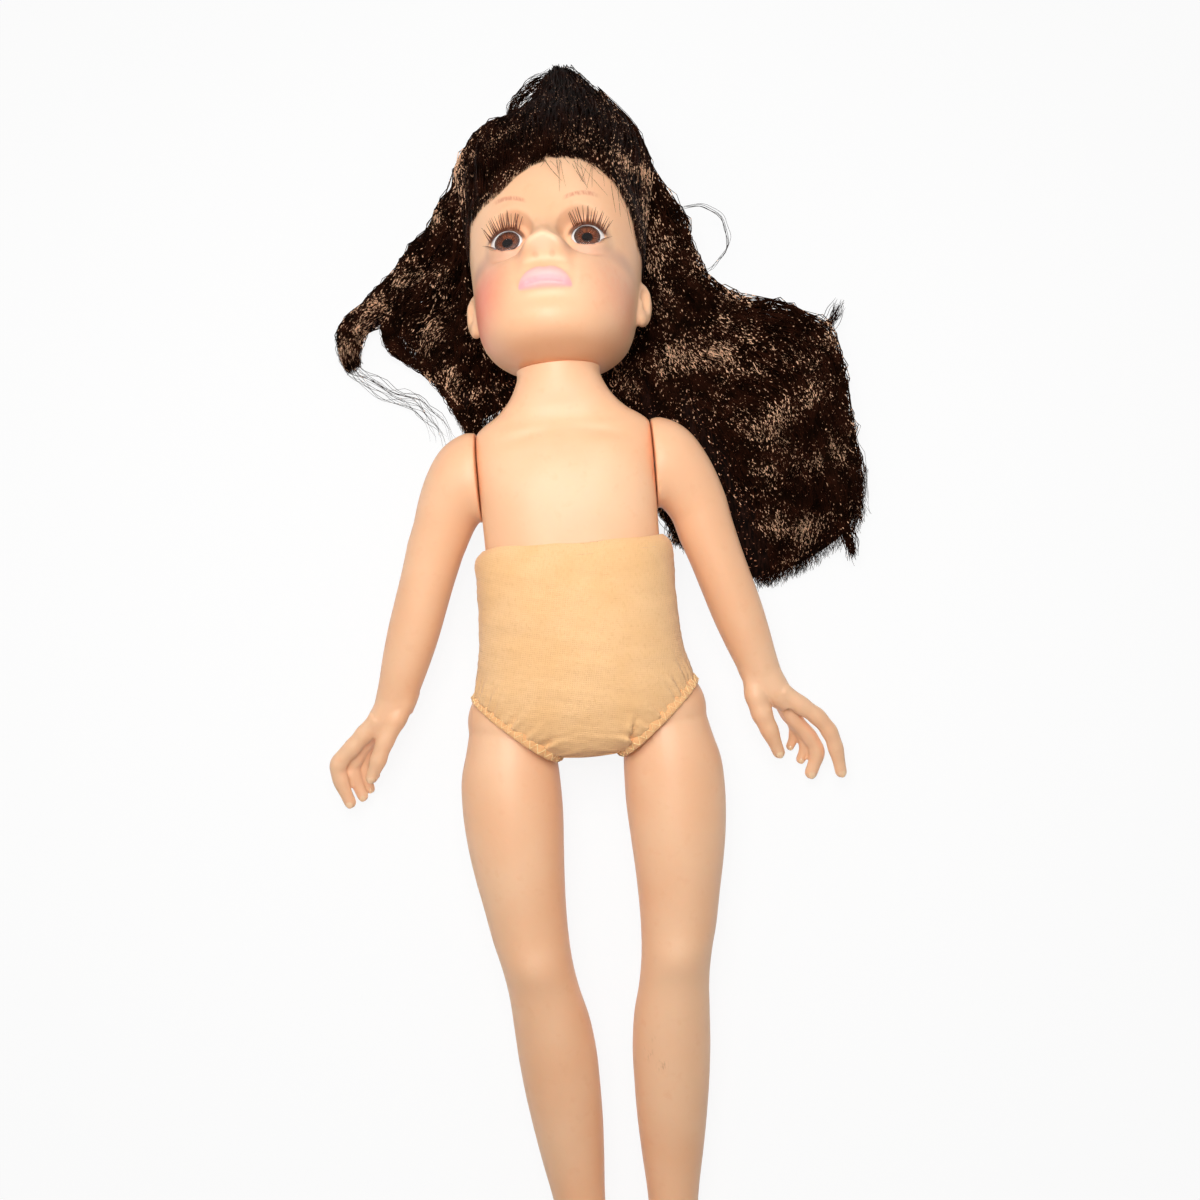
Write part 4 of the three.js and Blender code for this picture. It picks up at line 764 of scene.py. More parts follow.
def arm_rings(name):
    """Rings of the shoulder's cap, which tilt from the flat side to the arm's line, and of the arm to the wrist."""
    along, out = arm_axes(name)
    turn = full_turn(80)
    reach, down, tilt, half, deep = (column[:, None] for column in rows_between(CAP, np.linspace(0, 5, 60)).T)
    slant = np.radians(tilt)
    cap = np.stack([reach + half * np.sin(slant) * np.cos(turn), half * np.cos(slant) * np.cos(turn) - down,
                    deep * np.sin(turn)], -1)
    far, half, deep = (column[:, None, None] for column in rows_between(ARM, np.linspace(0, 7, 90)).T)
    circle, height = np.cos(turn)[:, None], np.sin(turn)[:, None]
    sleeve = ARM_ROOT + far * along + half * circle * out + deep * height * FRONT
    return np.concatenate([cap, sleeve])


arm_vinyl, base = vinyl("arm_vinyl")
arm_vinyl.feed("Base Color", base)
nail_vinyl = Finish("nail_vinyl", 0.22, Subsurface_Weight=0.1, Subsurface_Scale=0.002)
nail_vinyl.feed("Base Color", nail_vinyl.mix(nail_vinyl.noise(500, 2), paint(255, 218, 178), paint(250, 200, 160)))
nail_vinyl.bump(nail_vinyl.noise(1500, 2), 0.00003)
for name in ("left", "right"):
    hand = HANDS[name]
    c, s = squircle(full_turn(48), 2.3)
    far, out, front, thick, broad = (column[:, None] for column in rows_between(hand["palm"], np.linspace(0, 3, 40)).T)
    rows = np.stack([far + 0 * c, out + thick * c, front + broad * s], -1)
    palm = hand_points(name, rows.reshape(-1, 3)).reshape(rows.shape)
    shapes = [arm_rings(name), palm, *(finger(name, table) for table in (*hand["fingers"], hand["thumb"]))]
    arm = made(f"arm_casting_{name}", [skinned(rings, arm_place, name) for rings in shapes])
    cut(arm, [made("bore", [skinned(bore_x(30, 45.4), arm_place, name)])])
    merged(arm, voxel=0.0006, rounds=6)
    arm.data.materials.append(arm_vinyl.material)
    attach(arm, f"arm_{name}")
    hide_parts(f"arm_{name}")
    # Nails: small glossy plates on the backs of the finger tips
    plates = []
    for table in (*hand["fingers"], hand["thumb"]):
        far, out, front, radius = table[-1]
        tip = hand_points(name, np.array([[far + radius * 0.1, out, front + radius * 0.74]]))[0]
        ahead = hand_points(name, np.array([table[-1], table[-2]])[:, :3])
        ahead = (ahead[0] - ahead[1]) / np.linalg.norm(ahead[0] - ahead[1])
        beside = np.cross(ahead, FRONT)
        ball = globe((0, 0, 0), (radius * 0.62, radius * 0.78, radius * 0.34), 16, 24)
        nail = tip + ball[..., :1] * beside + ball[..., 1:2] * ahead + ball[..., 2:] * FRONT
        plates.append(skinned(nail, arm_place, name))
    nails = made(f"fingernails_{name}", plates)
    nails.data.materials.append(nail_vinyl.material)
    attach(nails, f"arm_{name}")


# Head.
# A hollow vinyl casting with the face, the ears and the nape in one, its lids cut open round the eyes and its rim
# turned in under the neck's flange. Lips, brows, blush and a brown shade on the lids are sprayed on it; painted shade
# under the eyes, round the nose and under the jaw, and a painted highlight low on the nose's tip, stand in for light.
HEAD = [
    [-5.8, 0.6, 24.5, 23.5], [-5.2, 8.5, 30.5, 16.5], [-3.4, 15.6, 34.4, 8.5], [0, 21.6, 37.0, -2.5],
    [4.6, 26.6, 38.3, -15], [10.6, 30.2, 38.6, -26], [18, 32.2, 38.8, -33.6], [27, 33.6, 38.2, -38.4],
    [37, 35.0, 37.6, -40.6], [48, 36.2, 39.0, -41.2], [59, 37.6, 40.6, -41.2], [70, 37.4, 39.6, -40],
    [80, 34.2, 34.6, -36], [88, 28.2, 26.0, -29], [93.6, 19.6, 16.0, -19.8], [96.6, 9.6, 6.0, -9.6],
    [97.2, 0.6, -2, -3],
]
# Mounds and dents: across, up, spread across, spread above, spread below, height
FACE = [
    [0, 28.6, 4.7, 5.4, 2.9, 10.0], [0, 38, 3.6, 7, 6, 2.4], [6.1, 26.0, 2.5, 3.4, 2.0, 4.8],
    [0, 14.4, 9.5, 6.0, 4.6, 3.4],
    [3.1, 24.0, 1.3, 0.9, 1.0, -0.8], [9.8, 26.4, 1.4, 3.4, 2.6, -0.5], [0, 7.4, 8, 2.4, 2.4, -1.2],
    [0, 1.2, 8, 5, 5, 2],
    [19, 21, 9, 8, 8, 2.8], [14, 30, 9, 2.8, 2.8, -0.7], [14, 48.5, 9, 4, 4, 0.8],
]
# The eyeball's centre, its radius, the lid's wall, and how far out the middle of the lids' opening lies
EYE_UP, EYE_R, LID, EYE_MIDDLE = 39.0, 10.5, 1.1, 16.0
EYE = np.array([14.8, EYE_UP, 23.3])
HEAD_POWER, MOUTH_HALF, MOUTH_UP = 2.15, 10.4, 12.6
HEAD_TURN, HEAD_LEAN, HEAD_TIP = -3, -3, -20.5


def head_place(points):
    """The head's millimetres, from the neck's seam, as metres in the frame: tipped back, turned and leaning."""
    x, y, z = np.moveaxis(np.asarray(points, float), -1, 0)
    turn, lean = math.radians(HEAD_TURN), math.radians(HEAD_LEAN)
    x, z = x * math.cos(turn) + z * math.sin(turn), z * math.cos(turn) - x * math.sin(turn)
    x, y = x * math.cos(lean) - y * math.sin(lean), x * math.sin(lean) + y * math.cos(lean)
    return torso_place(turned(np.stack([x, y, z], -1), HEAD_TIP) + (0, NECK_SEAM, 0))


def mouth(x):
    """Heights of the line between the lips, the upper lip's border and the lower lip's, which meet at the corners."""
    u = np.clip(np.abs(x) / MOUTH_HALF, 0, 1)
    line = MOUTH_UP - 1.3 * u ** 2
    full = (1 - u ** 2.4) ** 0.7
    return line, line + 6.4 * full - 0.8 * ridge(x, 1.5), line - 2.7 * full


def face_relief(x, y):
    """How far the face stands out of the plain head: the table's mounds, the lips between their borders and folds."""
    height = np.zeros_like(x)
    for across, up, wide, above, below, rise in FACE:
        tall = np.where(y > up, above, below)
        for middle in {across, -across}:
            height += rise * np.exp(-(((x - middle) / wide) ** 2 + ((y - up) / tall) ** 2) / 2)
    line, top, foot = mouth(x)
    inside = np.clip(1 - (np.abs(x) / MOUTH_HALF) ** 4, 0, 1)
    upper = np.clip((y - line) / np.maximum(top - line, 0.1), 0, 1)
    lower = np.clip((line - y) / np.maximum(line - foot, 0.1), 0, 1)
    upper, lower = 1.35 * np.sin(np.pi * upper) ** 0.7, 1.25 * np.sin(np.pi * lower) ** 0.7
    height += inside * (upper * (y > line) + lower * (y < line))
    height -= 0.75 * inside * ridge(y - line, 0.45)
    # Fold from each wing of the nose round the corner of the mouth, and the crease over each upper lid
    fold = 9.4 + 2.1 * np.sin(np.pi * np.clip((26 - y) / 17, 0, 1))
    height -= 0.22 * ridge(np.abs(x) - fold, 1.3) * smooth(y, 7.5, 12) * smooth(y, 27, 22)
    height += 0.2 * ridge(np.abs(x) - fold + 2.2, 1.6) * smooth(y, 8.5, 13) * smooth(y, 25, 20)
    aside = np.abs(x) - EYE_MIDDLE
    crease = EYE_UP + 9.0 - 3.4 * (aside / 8) ** 2
    height -= 0.5 * ridge(y - crease, 0.9) * np.exp(-((aside / 7) ** 4))
    return height


def head_rings(t, count):
    """Rings round the head: a superellipse at each height, packed towards the face, with the relief and the lids."""
    y, half, front, back = (column[:, None] for column in rows_between(HEAD, t).T)
    turn = full_turn(count)
    c, s = squircle(turn + 0.34 * np.cos(turn), HEAD_POWER)
    x, y = np.maximum(half, 0.05) * c, y + 0 * c
    z = (front + back) / 2 + np.maximum((front - back) / 2, 0.05) * s
    z = z + smooth(s, 0.1, 0.55) * face_relief(x, y)
    # The lids lie on a ball round the eye's centre and run out into the face
    reach = np.hypot(np.abs(x) - EYE[0] - 0.6, y - EYE[1])
    aside = np.hypot(np.abs(x) - EYE[0], y - EYE[1])
    lid = EYE[2] + np.sqrt(np.maximum((EYE_R + LID) ** 2 - aside ** 2, 0))
    follows = (1 - smooth(reach, 7.5, 11.5)) * (s > 0)
    return np.stack([x, y, z + (lid - z) * follows], -1)


def lid_shape(count, wide, tall):
    """An almond outline round the middle of an eye's opening: the outer corner higher, the upper lid fuller."""
    turn = full_turn(count)
    c, s = np.cos(turn), np.sin(turn)
    x = wide * np.sign(c) * np.abs(c) ** 0.9
    return x, 0.25 * c + np.where(s > 0, 1.06, 0.94) * tall * np.sign(s) * np.abs(s) ** 1.15 - 0.3


def in_head(rings, side=1):
    """A closed body placed in the frame from rings in the head's millimetres, mirrored where the side is -1."""
    return skinned(rings * (side, 1, 1), head_place)


def ear_part(side, centre, radii):
    """An ellipsoid in the ear's own axes: turned out and tipped back against the side of the head."""
    ball = globe((0, 0, 0), radii, 30, 44) + centre
    x, y, z = np.moveaxis(ball, -1, 0)
    x, y = x * math.cos(-0.1) - y * math.sin(-0.1), x * math.sin(-0.1) + y * math.cos(-0.1)
    x, z = x * math.cos(-0.5) + z * math.sin(-0.5), z * math.cos(-0.5) - x * math.sin(-0.5)
    return in_head(turned(np.stack([x, y, z], -1), math.degrees(-0.12)) + (35.2, 31.4, -4), side)


cutters = []
bodies = [in_head(head_rings(np.linspace(0, 16, 330), 340))]
for side in (1, -1):
    bodies.append(ear_part(side, (0, 0, 0), (3.4, 10.6, 6.4)))
    cutters.append(made("ear_bowl", [ear_part(side, (3.5, 1.0, 1), (2.6, 6.4, 3.8))]))
    cutters.append(made("eye_room", [in_head(globe(EYE, (EYE_R + 0.15,) * 3, 48, 72), side)]))
    x, y = lid_shape(64, 6.3, 4.5)
    almond = np.array([np.stack([EYE_MIDDLE + x, EYE_UP + y, 0 * x + z], -1) for z in (24, 60)])
    cutters.append(made("eye_opening", [in_head(almond, side)]))
# The room for the neck and its flange, which leaves the rim that turns in the groove
rim = [[100, 17.3], [142.3, 17.3], [142.3, 13.8], [145.1, 13.8], [145.1, 16.4], [149.8, 16.4], [149.8, 4]]
cutters.append(made("neck_room", [skinned(level_circles(rim, full_turn(96)), torso_place)]))
head = cut(made("head_casting", bodies), cutters)
folds = []
for side in (1, -1):
    folds += [ear_part(side, (2.0, 2.2, -1.3), (1.5, 5.4, 1.3)), ear_part(side, (1.2, -2.6, 3.4), (1.7, 2.2, 1.6)),
              ear_part(side, (0.5, -7.6, 1.0), (2.6, 3.4, 3.6))]
folds = made("ear_folds", folds)
join = head.modifiers.new("join", "BOOLEAN")
join.operation, join.object, join.solver = "UNION", folds, "MANIFOLD"
merged(head, voxel=0.0007, rounds=3)
bpy.data.objects.remove(folds)

head_vinyl, base = vinyl("head_vinyl")
# Head millimetres at each point, from which the paint is laid out
origin = head_place(np.zeros(3))
axes = np.stack([(head_place(axis) - origin) * 1000 for axis in np.eye(3)], 1)
head_angles = Matrix(axes.tolist()).to_euler("XYZ")
spot = head_vinyl.node("ShaderNodeMapping", {"vector_type": "TEXTURE"}, {
    "Vector": head_vinyl.place(), "Location": origin.tolist(), "Rotation": tuple(head_angles), "Scale": (0.001,) * 3})
across, up, ahead = (head_vinyl.node("ShaderNodeSeparateXYZ", {}, {0: spot}, axis) for axis in "XYZ")
beside = across.math("ABSOLUTE")


def oval(x, y, wide, tall, soft):
    """1 inside an ellipse of the head's front and 0 outside it, fading over the soft share of its radius."""
    reach = ((x / wide).math("POWER", 2.0) + (y / tall).math("POWER", 2.0)).math("SQRT")
    return reach.step(1 + soft, 1 - soft)


def spray_paint_and_shading(base, share, colour):
    """A colour laid over the colours below it, by a share at each point; it lays sprayed paint and painted shade alike.
    """
    return head_vinyl.mix(share, base, paint(*colour))


grain = head_vinyl.noise(330, 4)
cloud = head_vinyl.noise(90, 3)
# Blush, strongest low on the cheeks, and a warm painted shade under the jaw
in_front = ahead.step(0, 13)
base = spray_paint_and_shading(base, oval(across + 28.5, up - 17.0, 9.5, 11.5, 0.95) * (grain * 0.3 + 0.46) * in_front, (255, 112, 96))
base = spray_paint_and_shading(base, oval(across - 28.5, up - 17.5, 11, 11, 0.95) * (grain * 0.3 + 0.12) * in_front, (255, 124, 92))
base = spray_paint_and_shading(base, up.step(6, -4) * 0.12, (248, 178, 130))
# Painted shade where the cheeks meet the eye hollows
hollow = (up - 32.6 - (beside - 18) * 0.12).math("ABSOLUTE").step(6.0, 0) * beside.step(8, 13) * beside.step(35, 29)
base = spray_paint_and_shading(base, hollow * (cloud * 0.3 + 0.28), (184, 134, 120))
# Lids: a soft brown shade that is darkest at the rim of the upper lid
lid_x, lid_y = beside - EYE_MIDDLE, up - EYE_UP
upper_lid = oval(lid_x, lid_y - 0.4, 8.4, 7.3, 0.16) * (up - 37.5).step(0, 3)
base = spray_paint_and_shading(base, upper_lid * 0.42, (206, 140, 112))
base = spray_paint_and_shading(base, oval(lid_x, lid_y - 0.2, 7.5, 6.3, 0.1) * (up - 38.2).step(0, 2.4) * 0.86, (92, 52, 38))
base = spray_paint_and_shading(base, oval(lid_x, lid_y, 6.8, 5.5, 0.06) * (up - 38.5).step(0.4, -2) * 0.35, (222, 140, 120))
# Brows in short strokes
arch = (beside - 14.5) * 0.28 + 55.2 - ((beside - 14.5) / 7).math("POWER", 2.0) * 1.3
strokes = head_vinyl.noise(1400, 2, head_vinyl.stretched((1.0, 0.3, 0.3)))
brow = (up - arch).math("ABSOLUTE").step(1.5, 0.3) * beside.step(6.5, 9.5) * beside.step(22.5, 17)
base = spray_paint_and_shading(base, brow * (strokes.step(0.3, 0.62) * 0.45 + 0.2), (208, 128, 104))
# Lips, between the borders that mouth gives
share = (beside / MOUTH_HALF).math("MINIMUM", 1.0)
line = MOUTH_UP - share * share * 1.3
full = (1 - share.math("POWER", 2.4)).math("POWER", 0.7)
above = (line + full * 6.4 - across.ridge(1.5) * 0.8 - up).step(-0.5, 0.9)
under = (up - line + full * 2.7).step(-0.5, 0.7)
lips = above * under * ahead.step(25, 30) * beside.step(10.5, 9.7)
base = spray_paint_and_shading(base, lips * (cloud * 0.2 + 0.66), (255, 188, 192))
base = spray_paint_and_shading(base, lips * (up - line).math("ABSOLUTE").step(2.6, 0.1) * 0.4, (252, 150, 170))
# Scalp: dark where the hair is rooted, above a hairline that falls from the forehead to the nape
bearing = (ahead + 1.5).math("ARCTAN2", beside) * 57.3
falls = bearing.step(-40, 75) * 50 + 24 + (bearing - 4).ridge(9) * 8
swept = (bearing - 62).ridge(22) * 12 * across.step(1, -3)
rooted = (up - falls + swept + (grain - 0.5) * 5).step(-0.4, 1.6)
base = spray_paint_and_shading(base, rooted, (30, 14, 10))
# Painted shade in the nostrils, under the nose and in the grooves behind its wings; a painted highlight low on its tip
base = spray_paint_and_shading(base, oval(beside - 3.1, up - 23.6, 1.2, 0.9, 0.5) * ahead.step(38, 41) * 0.3, (208, 128, 92))
base = spray_paint_and_shading(base, oval(across, up - 20.6, 6.5, 1.6, 0.8) * 0.36, (232, 158, 122))
base = spray_paint_and_shading(base, oval(across, up - 26.0, 4.2, 2.0, 0.9) * 0.4, (255, 238, 206))
base = spray_paint_and_shading(base, oval(beside - 9.7, up - 27.4, 2.2, 6.0, 0.9) * 0.34, (226, 146, 110))
head_vinyl.feed("Base Color", base)
head.data.materials.append(head_vinyl.material)
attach(head, "head")
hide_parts("head_shell")


# Eyes.
# An acrylic ball behind each opening, with a printed brown iris set back under a clear dome. The iris is turned out a
# little, to the middle of its opening.
eye_white = Finish("eye_white", 0.12, Coat_Weight=0.6, Coat_Roughness=0.05)
veins = eye_white.noise(420, 5).step(0.6, 0.72)
eye_white.feed("Base Color", eye_white.mix(veins * 0.12, paint(238, 234, 232), paint(226, 196, 190)))
eye_white.feed("Roughness", eye_white.noise(300, 2) * 0.08 + 0.08)
# The domes let all light through and mirror a little of it, most at their edges, with faint scratches
acrylic = Finish("clear_acrylic", 0.03)
acrylic.tree.nodes.remove(acrylic.shader)
scratched = acrylic.node("ShaderNodeBump", {}, {
    "Height": acrylic.node("ShaderNodeTexNoise", {}, {"Scale": 900}), "Distance": 0.00001})
gloss = acrylic.node("ShaderNodeBsdfGlossy", {}, {"Roughness": 0.03, "Normal": scratched})
edge_on = acrylic.node("ShaderNodeLayerWeight", {}, {"Blend": 0.05}, "Facing")
both = acrylic.node("ShaderNodeMixShader", {}, {0: edge_on, 1: acrylic.node("ShaderNodeBsdfTransparent"), 2: gloss})
acrylic.tree.links.new(both.socket, acrylic.tree.nodes["Material Output"].inputs["Surface"])


def gaze(points, side):
    """Points round an eye's middle, turned out by 6.5 degrees and set in the head."""
    angle = math.radians(6.5)
    x, y, z = np.moveaxis(points, -1, 0)
    set_out = np.stack([x * math.cos(angle) + z * math.sin(angle), y, z * math.cos(angle) - x * math.sin(angle)], -1)
    return head_place((set_out + EYE) * (side, 1, 1))


def turned_round(profile, count):
    """A closed body of revolution about Z from rows of [radius, height]."""
    turn = full_turn(count)
    radius, height = np.array(profile, float).T[..., None]
    return np.stack([radius * np.cos(turn), radius * np.sin(turn), height + 0 * turn], -1)


def eye_part(title, side, profile, count):
    """One piece turned round the line of sight of an eye."""
    return made(title, [skinned(turned_round(profile, count), gaze, side)])


for name, side in (("left", 1), ("right", -1)):
    angle = np.linspace(-np.pi / 2 + 0.01, math.acos(5.2 / EYE_R), 60)
    ball = np.stack([EYE_R * np.cos(angle), EYE_R * np.sin(angle)], -1)
    well = [[5.2, 8.3], [5.15, 7.9], [0.05, 7.9]]
    bulb = eye_part(f"eyeball_{name}", side, np.concatenate([ball, well]), 96)
    bulb.data.materials.append(eye_white.material)
    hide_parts(f"eye_{name}")
    dish = [[0.05, 8.0], [5.1, 8.0], [5.1, 8.8], [4.3, 8.64], [3.0, 8.4], [2.0, 8.3], [0.05, 8.3]]
    iris = eye_part(f"printed_iris_{name}", side, dish, 96)
    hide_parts(f"iris_{name}")
    angle = np.linspace(0.42, np.pi / 2 - 0.01, 24)
    shell = np.stack([10.75 * np.cos(angle) * 0.5, 8.9 + 2.2 * np.sin(angle) - 0.9], -1)
    dome = eye_part(f"clear_dome_{name}", side, np.concatenate([[[0.05, 8.85], [4.95, 8.85]], shell]), 72)
    dome.data.materials.append(acrylic.material)
    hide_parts(f"cornea_{name}")
    # Iris: a dark rim, radial fibres, a pale ring of flecks and a black pupil, laid out from its own middle
    middle = gaze(np.array([0, 0, 8.3]), side).tolist()
    ink = Finish(f"iris_{name}", 0.35)
    distance = ink.distance(middle)
    offset = ink.node("ShaderNodeVectorMath", {"operation": "SUBTRACT"}, {0: ink.place(), 1: middle})
    direction = ink.node("ShaderNodeVectorMath", {"operation": "NORMALIZE"}, {0: offset})
    rays = ink.noise(9, 4, direction)
    tone = ink.mix(rays.step(0.38, 0.62), paint(74, 32, 14), paint(146, 78, 42))
    tone = ink.mix(distance.step(0.0031, 0.0047) * 0.8, tone, paint(52, 22, 12))
    tone = ink.mix(distance.step(0.0031, 0.0025) * 0.5, tone, paint(120, 58, 28))
    ink.feed("Base Color", ink.mix(distance.step(0.0024, 0.0021), tone, paint(8, 6, 8)))
    ink.feed("Roughness", rays * 0.2 + 0.25)
    ink.bump(rays, 0.00008)
    iris.data.materials.append(ink.material)
    for piece in (bulb, iris, dome):
        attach(piece, "head")


# Lashes.
# Brown bristles fused to a fine strip along each upper lid: upright near the nose, fanned out at the outer corner.
def spokes(paths, count):
    """Directions to the points of a circle round each point of many paths, square to the path there."""
    ahead = np.gradient(paths, axis=1)
    ahead /= np.maximum(np.linalg.norm(ahead, axis=2), 1e-6)[..., None]
    beside = np.cross(ahead, (0.31, 0.12, 0.94))
    beside /= np.maximum(np.linalg.norm(beside, axis=2), 1e-6)[..., None]
    over, turn = np.cross(ahead, beside), full_turn(count)[:, None]
    return np.cos(turn) * beside[:, :, None] + np.sin(turn) * over[:, :, None]


def bristles(roots, middles, tips, radius, steps=9, count=5):
    """Closed tapering tubes along quadratic curves, one for each row of the three point arrays."""
    t = np.linspace(0, 1, steps)[:, None]
    path = (roots[:, None] * (1 - t) ** 2 + middles[:, None] * 2 * t * (1 - t) + tips[:, None] * t ** 2)
    size = radius * (1 - 0.85 * t[:, 0])
    return path[:, :, None] + size[None, :, None, None] * spokes(path, count)


def on_eye(x, y, clearance):
    """Points at a clearance over the eyeball: z = centre + sqrt((radius + clearance)^2 - across^2 - up^2)."""
    rise = (EYE_R + clearance) ** 2 - (x - EYE[0]) ** 2 - (y - EYE[1]) ** 2
    return np.stack([x, y, EYE[2] + np.sqrt(np.maximum(rise, 1))], -1)


LASHES = 22
bristle = Finish("lash_bristle", 0.4)
bristle.feed("Base Color", bristle.mix(bristle.noise(700, 2), paint(64, 30, 18), paint(140, 78, 48)))
bristle.feed("Roughness", bristle.noise(900, 2) * 0.2 + 0.3)
chance = np.random.default_rng(11)
for name, side in (("left", 1), ("right", -1)):
    t = np.linspace(0.02, 1, LASHES) + chance.uniform(-0.015, 0.015, LASHES)
    x = 10.9 + 11.8 * t
    roots = on_eye(x, EYE_UP + 4.9 - 4.3 * np.abs((x - 15.6) / 7.3) ** 2.2, 0.75)
    fan = (t - 0.36) * 1.15 + chance.normal(0, 0.12, LASHES)
    length = 6.0 - 1.6 * t + chance.normal(0, 0.5, LASHES)
    tips = roots + np.stack([np.sin(fan) * length * 1.15, np.cos(fan) * length * (1 - 0.5 * np.maximum(t - 0.6, 0)),
                             3.4 + 0.6 * t], -1)
    middles = roots * 0.5 + tips * 0.5 + np.stack([0 * t, -0.9 + 0 * t, 1.3 + 0 * t], -1)
    low_t = np.linspace(0, 1, 6)
    low_roots = on_eye(19.6 + 2.9 * low_t, 35.4 + 2.5 * low_t, 0.8)
    low_tips = low_roots + np.stack([2.6 + 0.6 * low_t, -1.6 + 1.2 * low_t, 1.2 + 0 * low_t], -1)
    low_middles = (low_roots + low_tips) / 2 + (0, 0, 0.3)
    tubes = [*bristles(roots, middles, tips, 0.27), *bristles(low_roots, low_middles, low_tips, 0.12)]
    strip = np.stack([np.interp(np.linspace(0, 1, 40), t, roots[:, k]) for k in range(3)], -1)
    c = np.linspace(0, 2 * np.pi, 7)[:-1]
    cross_section = 0.24 * np.stack([0 * c, np.cos(c), np.sin(c)], -1)
    bodies = [in_head(rings, side) for rings in (*tubes, strip[:, None] + cross_section[None])]
    lashes = made(f"bristle_lashes_{name}", bodies)
    lashes.data.materials.append(bristle.material)
    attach(lashes, "head")
    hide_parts(f"lash_{name}")


# Joint pins, washers and waist tie.
# White nylon, as moulded: the pins that the arms and legs turn on, their washers, and the tie round the chest plate.
nylon = Finish("nylon", 0.45, Specular_IOR_Level=0.4)
nylon.feed("Base Color", nylon.mix(nylon.noise(120, 3).step(0.3, 0.7), paint(236, 232, 222), paint(224, 219, 206)))
nylon.feed("Roughness", nylon.noise(300, 3) * 0.2 + 0.35)
nylon.bump(nylon.noise(1500, 2), 0.00004)
fittings = [f"{joint}_{part}_{side}" for joint in ("hip", "shoulder") for part in ("stem", "washer")
            for side in ("left", "right")]
for title in (*fittings, "waist_tie"):
    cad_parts[title].data.materials.clear()
    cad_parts[title].data.materials.append(nylon.material)


# Hair.
# Fine wavy fibre, rooted over the skull and drawn up to a hump behind the crown. From there it falls to both sides and
# lies on the surface: a curled lock on the doll's right and a wide frizzy mass on its left. Matted fibre lies beneath.
MASS = [[44, 232], [58, 214], [72, 192], [104, 180], [124, 168], [127, 148], [130, 118], [128, 97], [130, 82],
        [118, 67], [84, 53], [60, 62], [42, 88], [30, 136], [20, 154], [26, 172], [36, 192]]
LOCK = [[-36, 236], [-50, 222], [-64, 208], [-80, 196], [-76, 183], [-64, 174], [-54, 162], [-50, 148], [-44, 135],
        [-18, 143], [-14, 156], [-19, 176], [-30, 205]]
BED = [[-28, 176], [-18, 162], [4, 158], [26, 163], [34, 180], [32, 202], [16, 214], [-8, 214], [-25, 200]]
# Flow lines of the hair, in millimetres of the frame. The crown's run from the scalp to the hump and down behind it,
# one for each angle round the head; the others run from the hump outwards, from the hair's outer edge in to the body.
CROWN_ANGLES = [-130, -90, -50, 0, 45, 90, 135, 180, 230]
CROWN_LINES = [
    [[-28, 218, 20], [-29, 232, 24], [-27, 246, 26], [-18, 259, 25], [-7, 272, 22], [3, 285, 18], [5, 280, 11],
     [5, 270, 6]],
    [[6, 212, 2], [7, 226, 4], [8, 240, 8], [10, 256, 10], [12, 270, 10], [12, 280, 10], [12, 276, 7], [12, 268, 4]],
    [[34, 218, 20], [36, 232, 24], [34, 246, 26], [29, 262, 25], [22, 278, 22], [16, 290, 18], [14, 284, 11],
     [14, 272, 6]],
    [[44, 222, 46], [45, 236, 46], [43, 249, 45], [36, 265, 38], [26, 281, 30], [18, 296, 24], [15, 291, 14],
     [16, 276, 8]],
    [[29, 226, 70], [31, 240, 64], [31, 254, 56], [27, 270, 46], [21, 285, 36], [15, 298, 27], [13, 293, 16],
     [14, 278, 9]],
    [[3, 229, 78], [4, 241, 72], [6, 255, 62], [8, 270, 50], [10, 286, 38], [10, 299, 28], [11, 294, 16], [11, 279, 9]],
    [[-25, 224, 70], [-24, 238, 66], [-18, 252, 58], [-9, 264, 48], [-1, 278, 38], [5, 295, 28], [7, 290, 16],
     [7, 276, 9]],
    [[-34, 222, 50], [-34, 236, 49], [-31, 248, 46], [-20, 260, 41], [-7, 272, 35], [3, 290, 26], [5, 287, 16],
     [4, 274, 8]],
]
CROWN_LINES.append(CROWN_LINES[0])
CURL_LINES = [
    [[-1, 279, 30], [-10, 270, 35], [-21, 264, 39], [-31, 254, 41], [-41, 239, 34], [-53, 228, 24], [-67, 216, 18],
     [-80, 204, 14], [-92, 196, 12], [-99, 187, 10], [-100, 179, 8], [-97, 171, 6]],
    [[-2, 274, 33], [-11, 266, 38], [-21, 259, 43], [-30, 248, 42], [-39, 232, 34], [-49, 219, 24], [-62, 208, 18],
     [-73, 199, 15], [-83, 193, 13], [-90, 188, 11], [-94, 181, 9], [-93, 174, 6]],
]
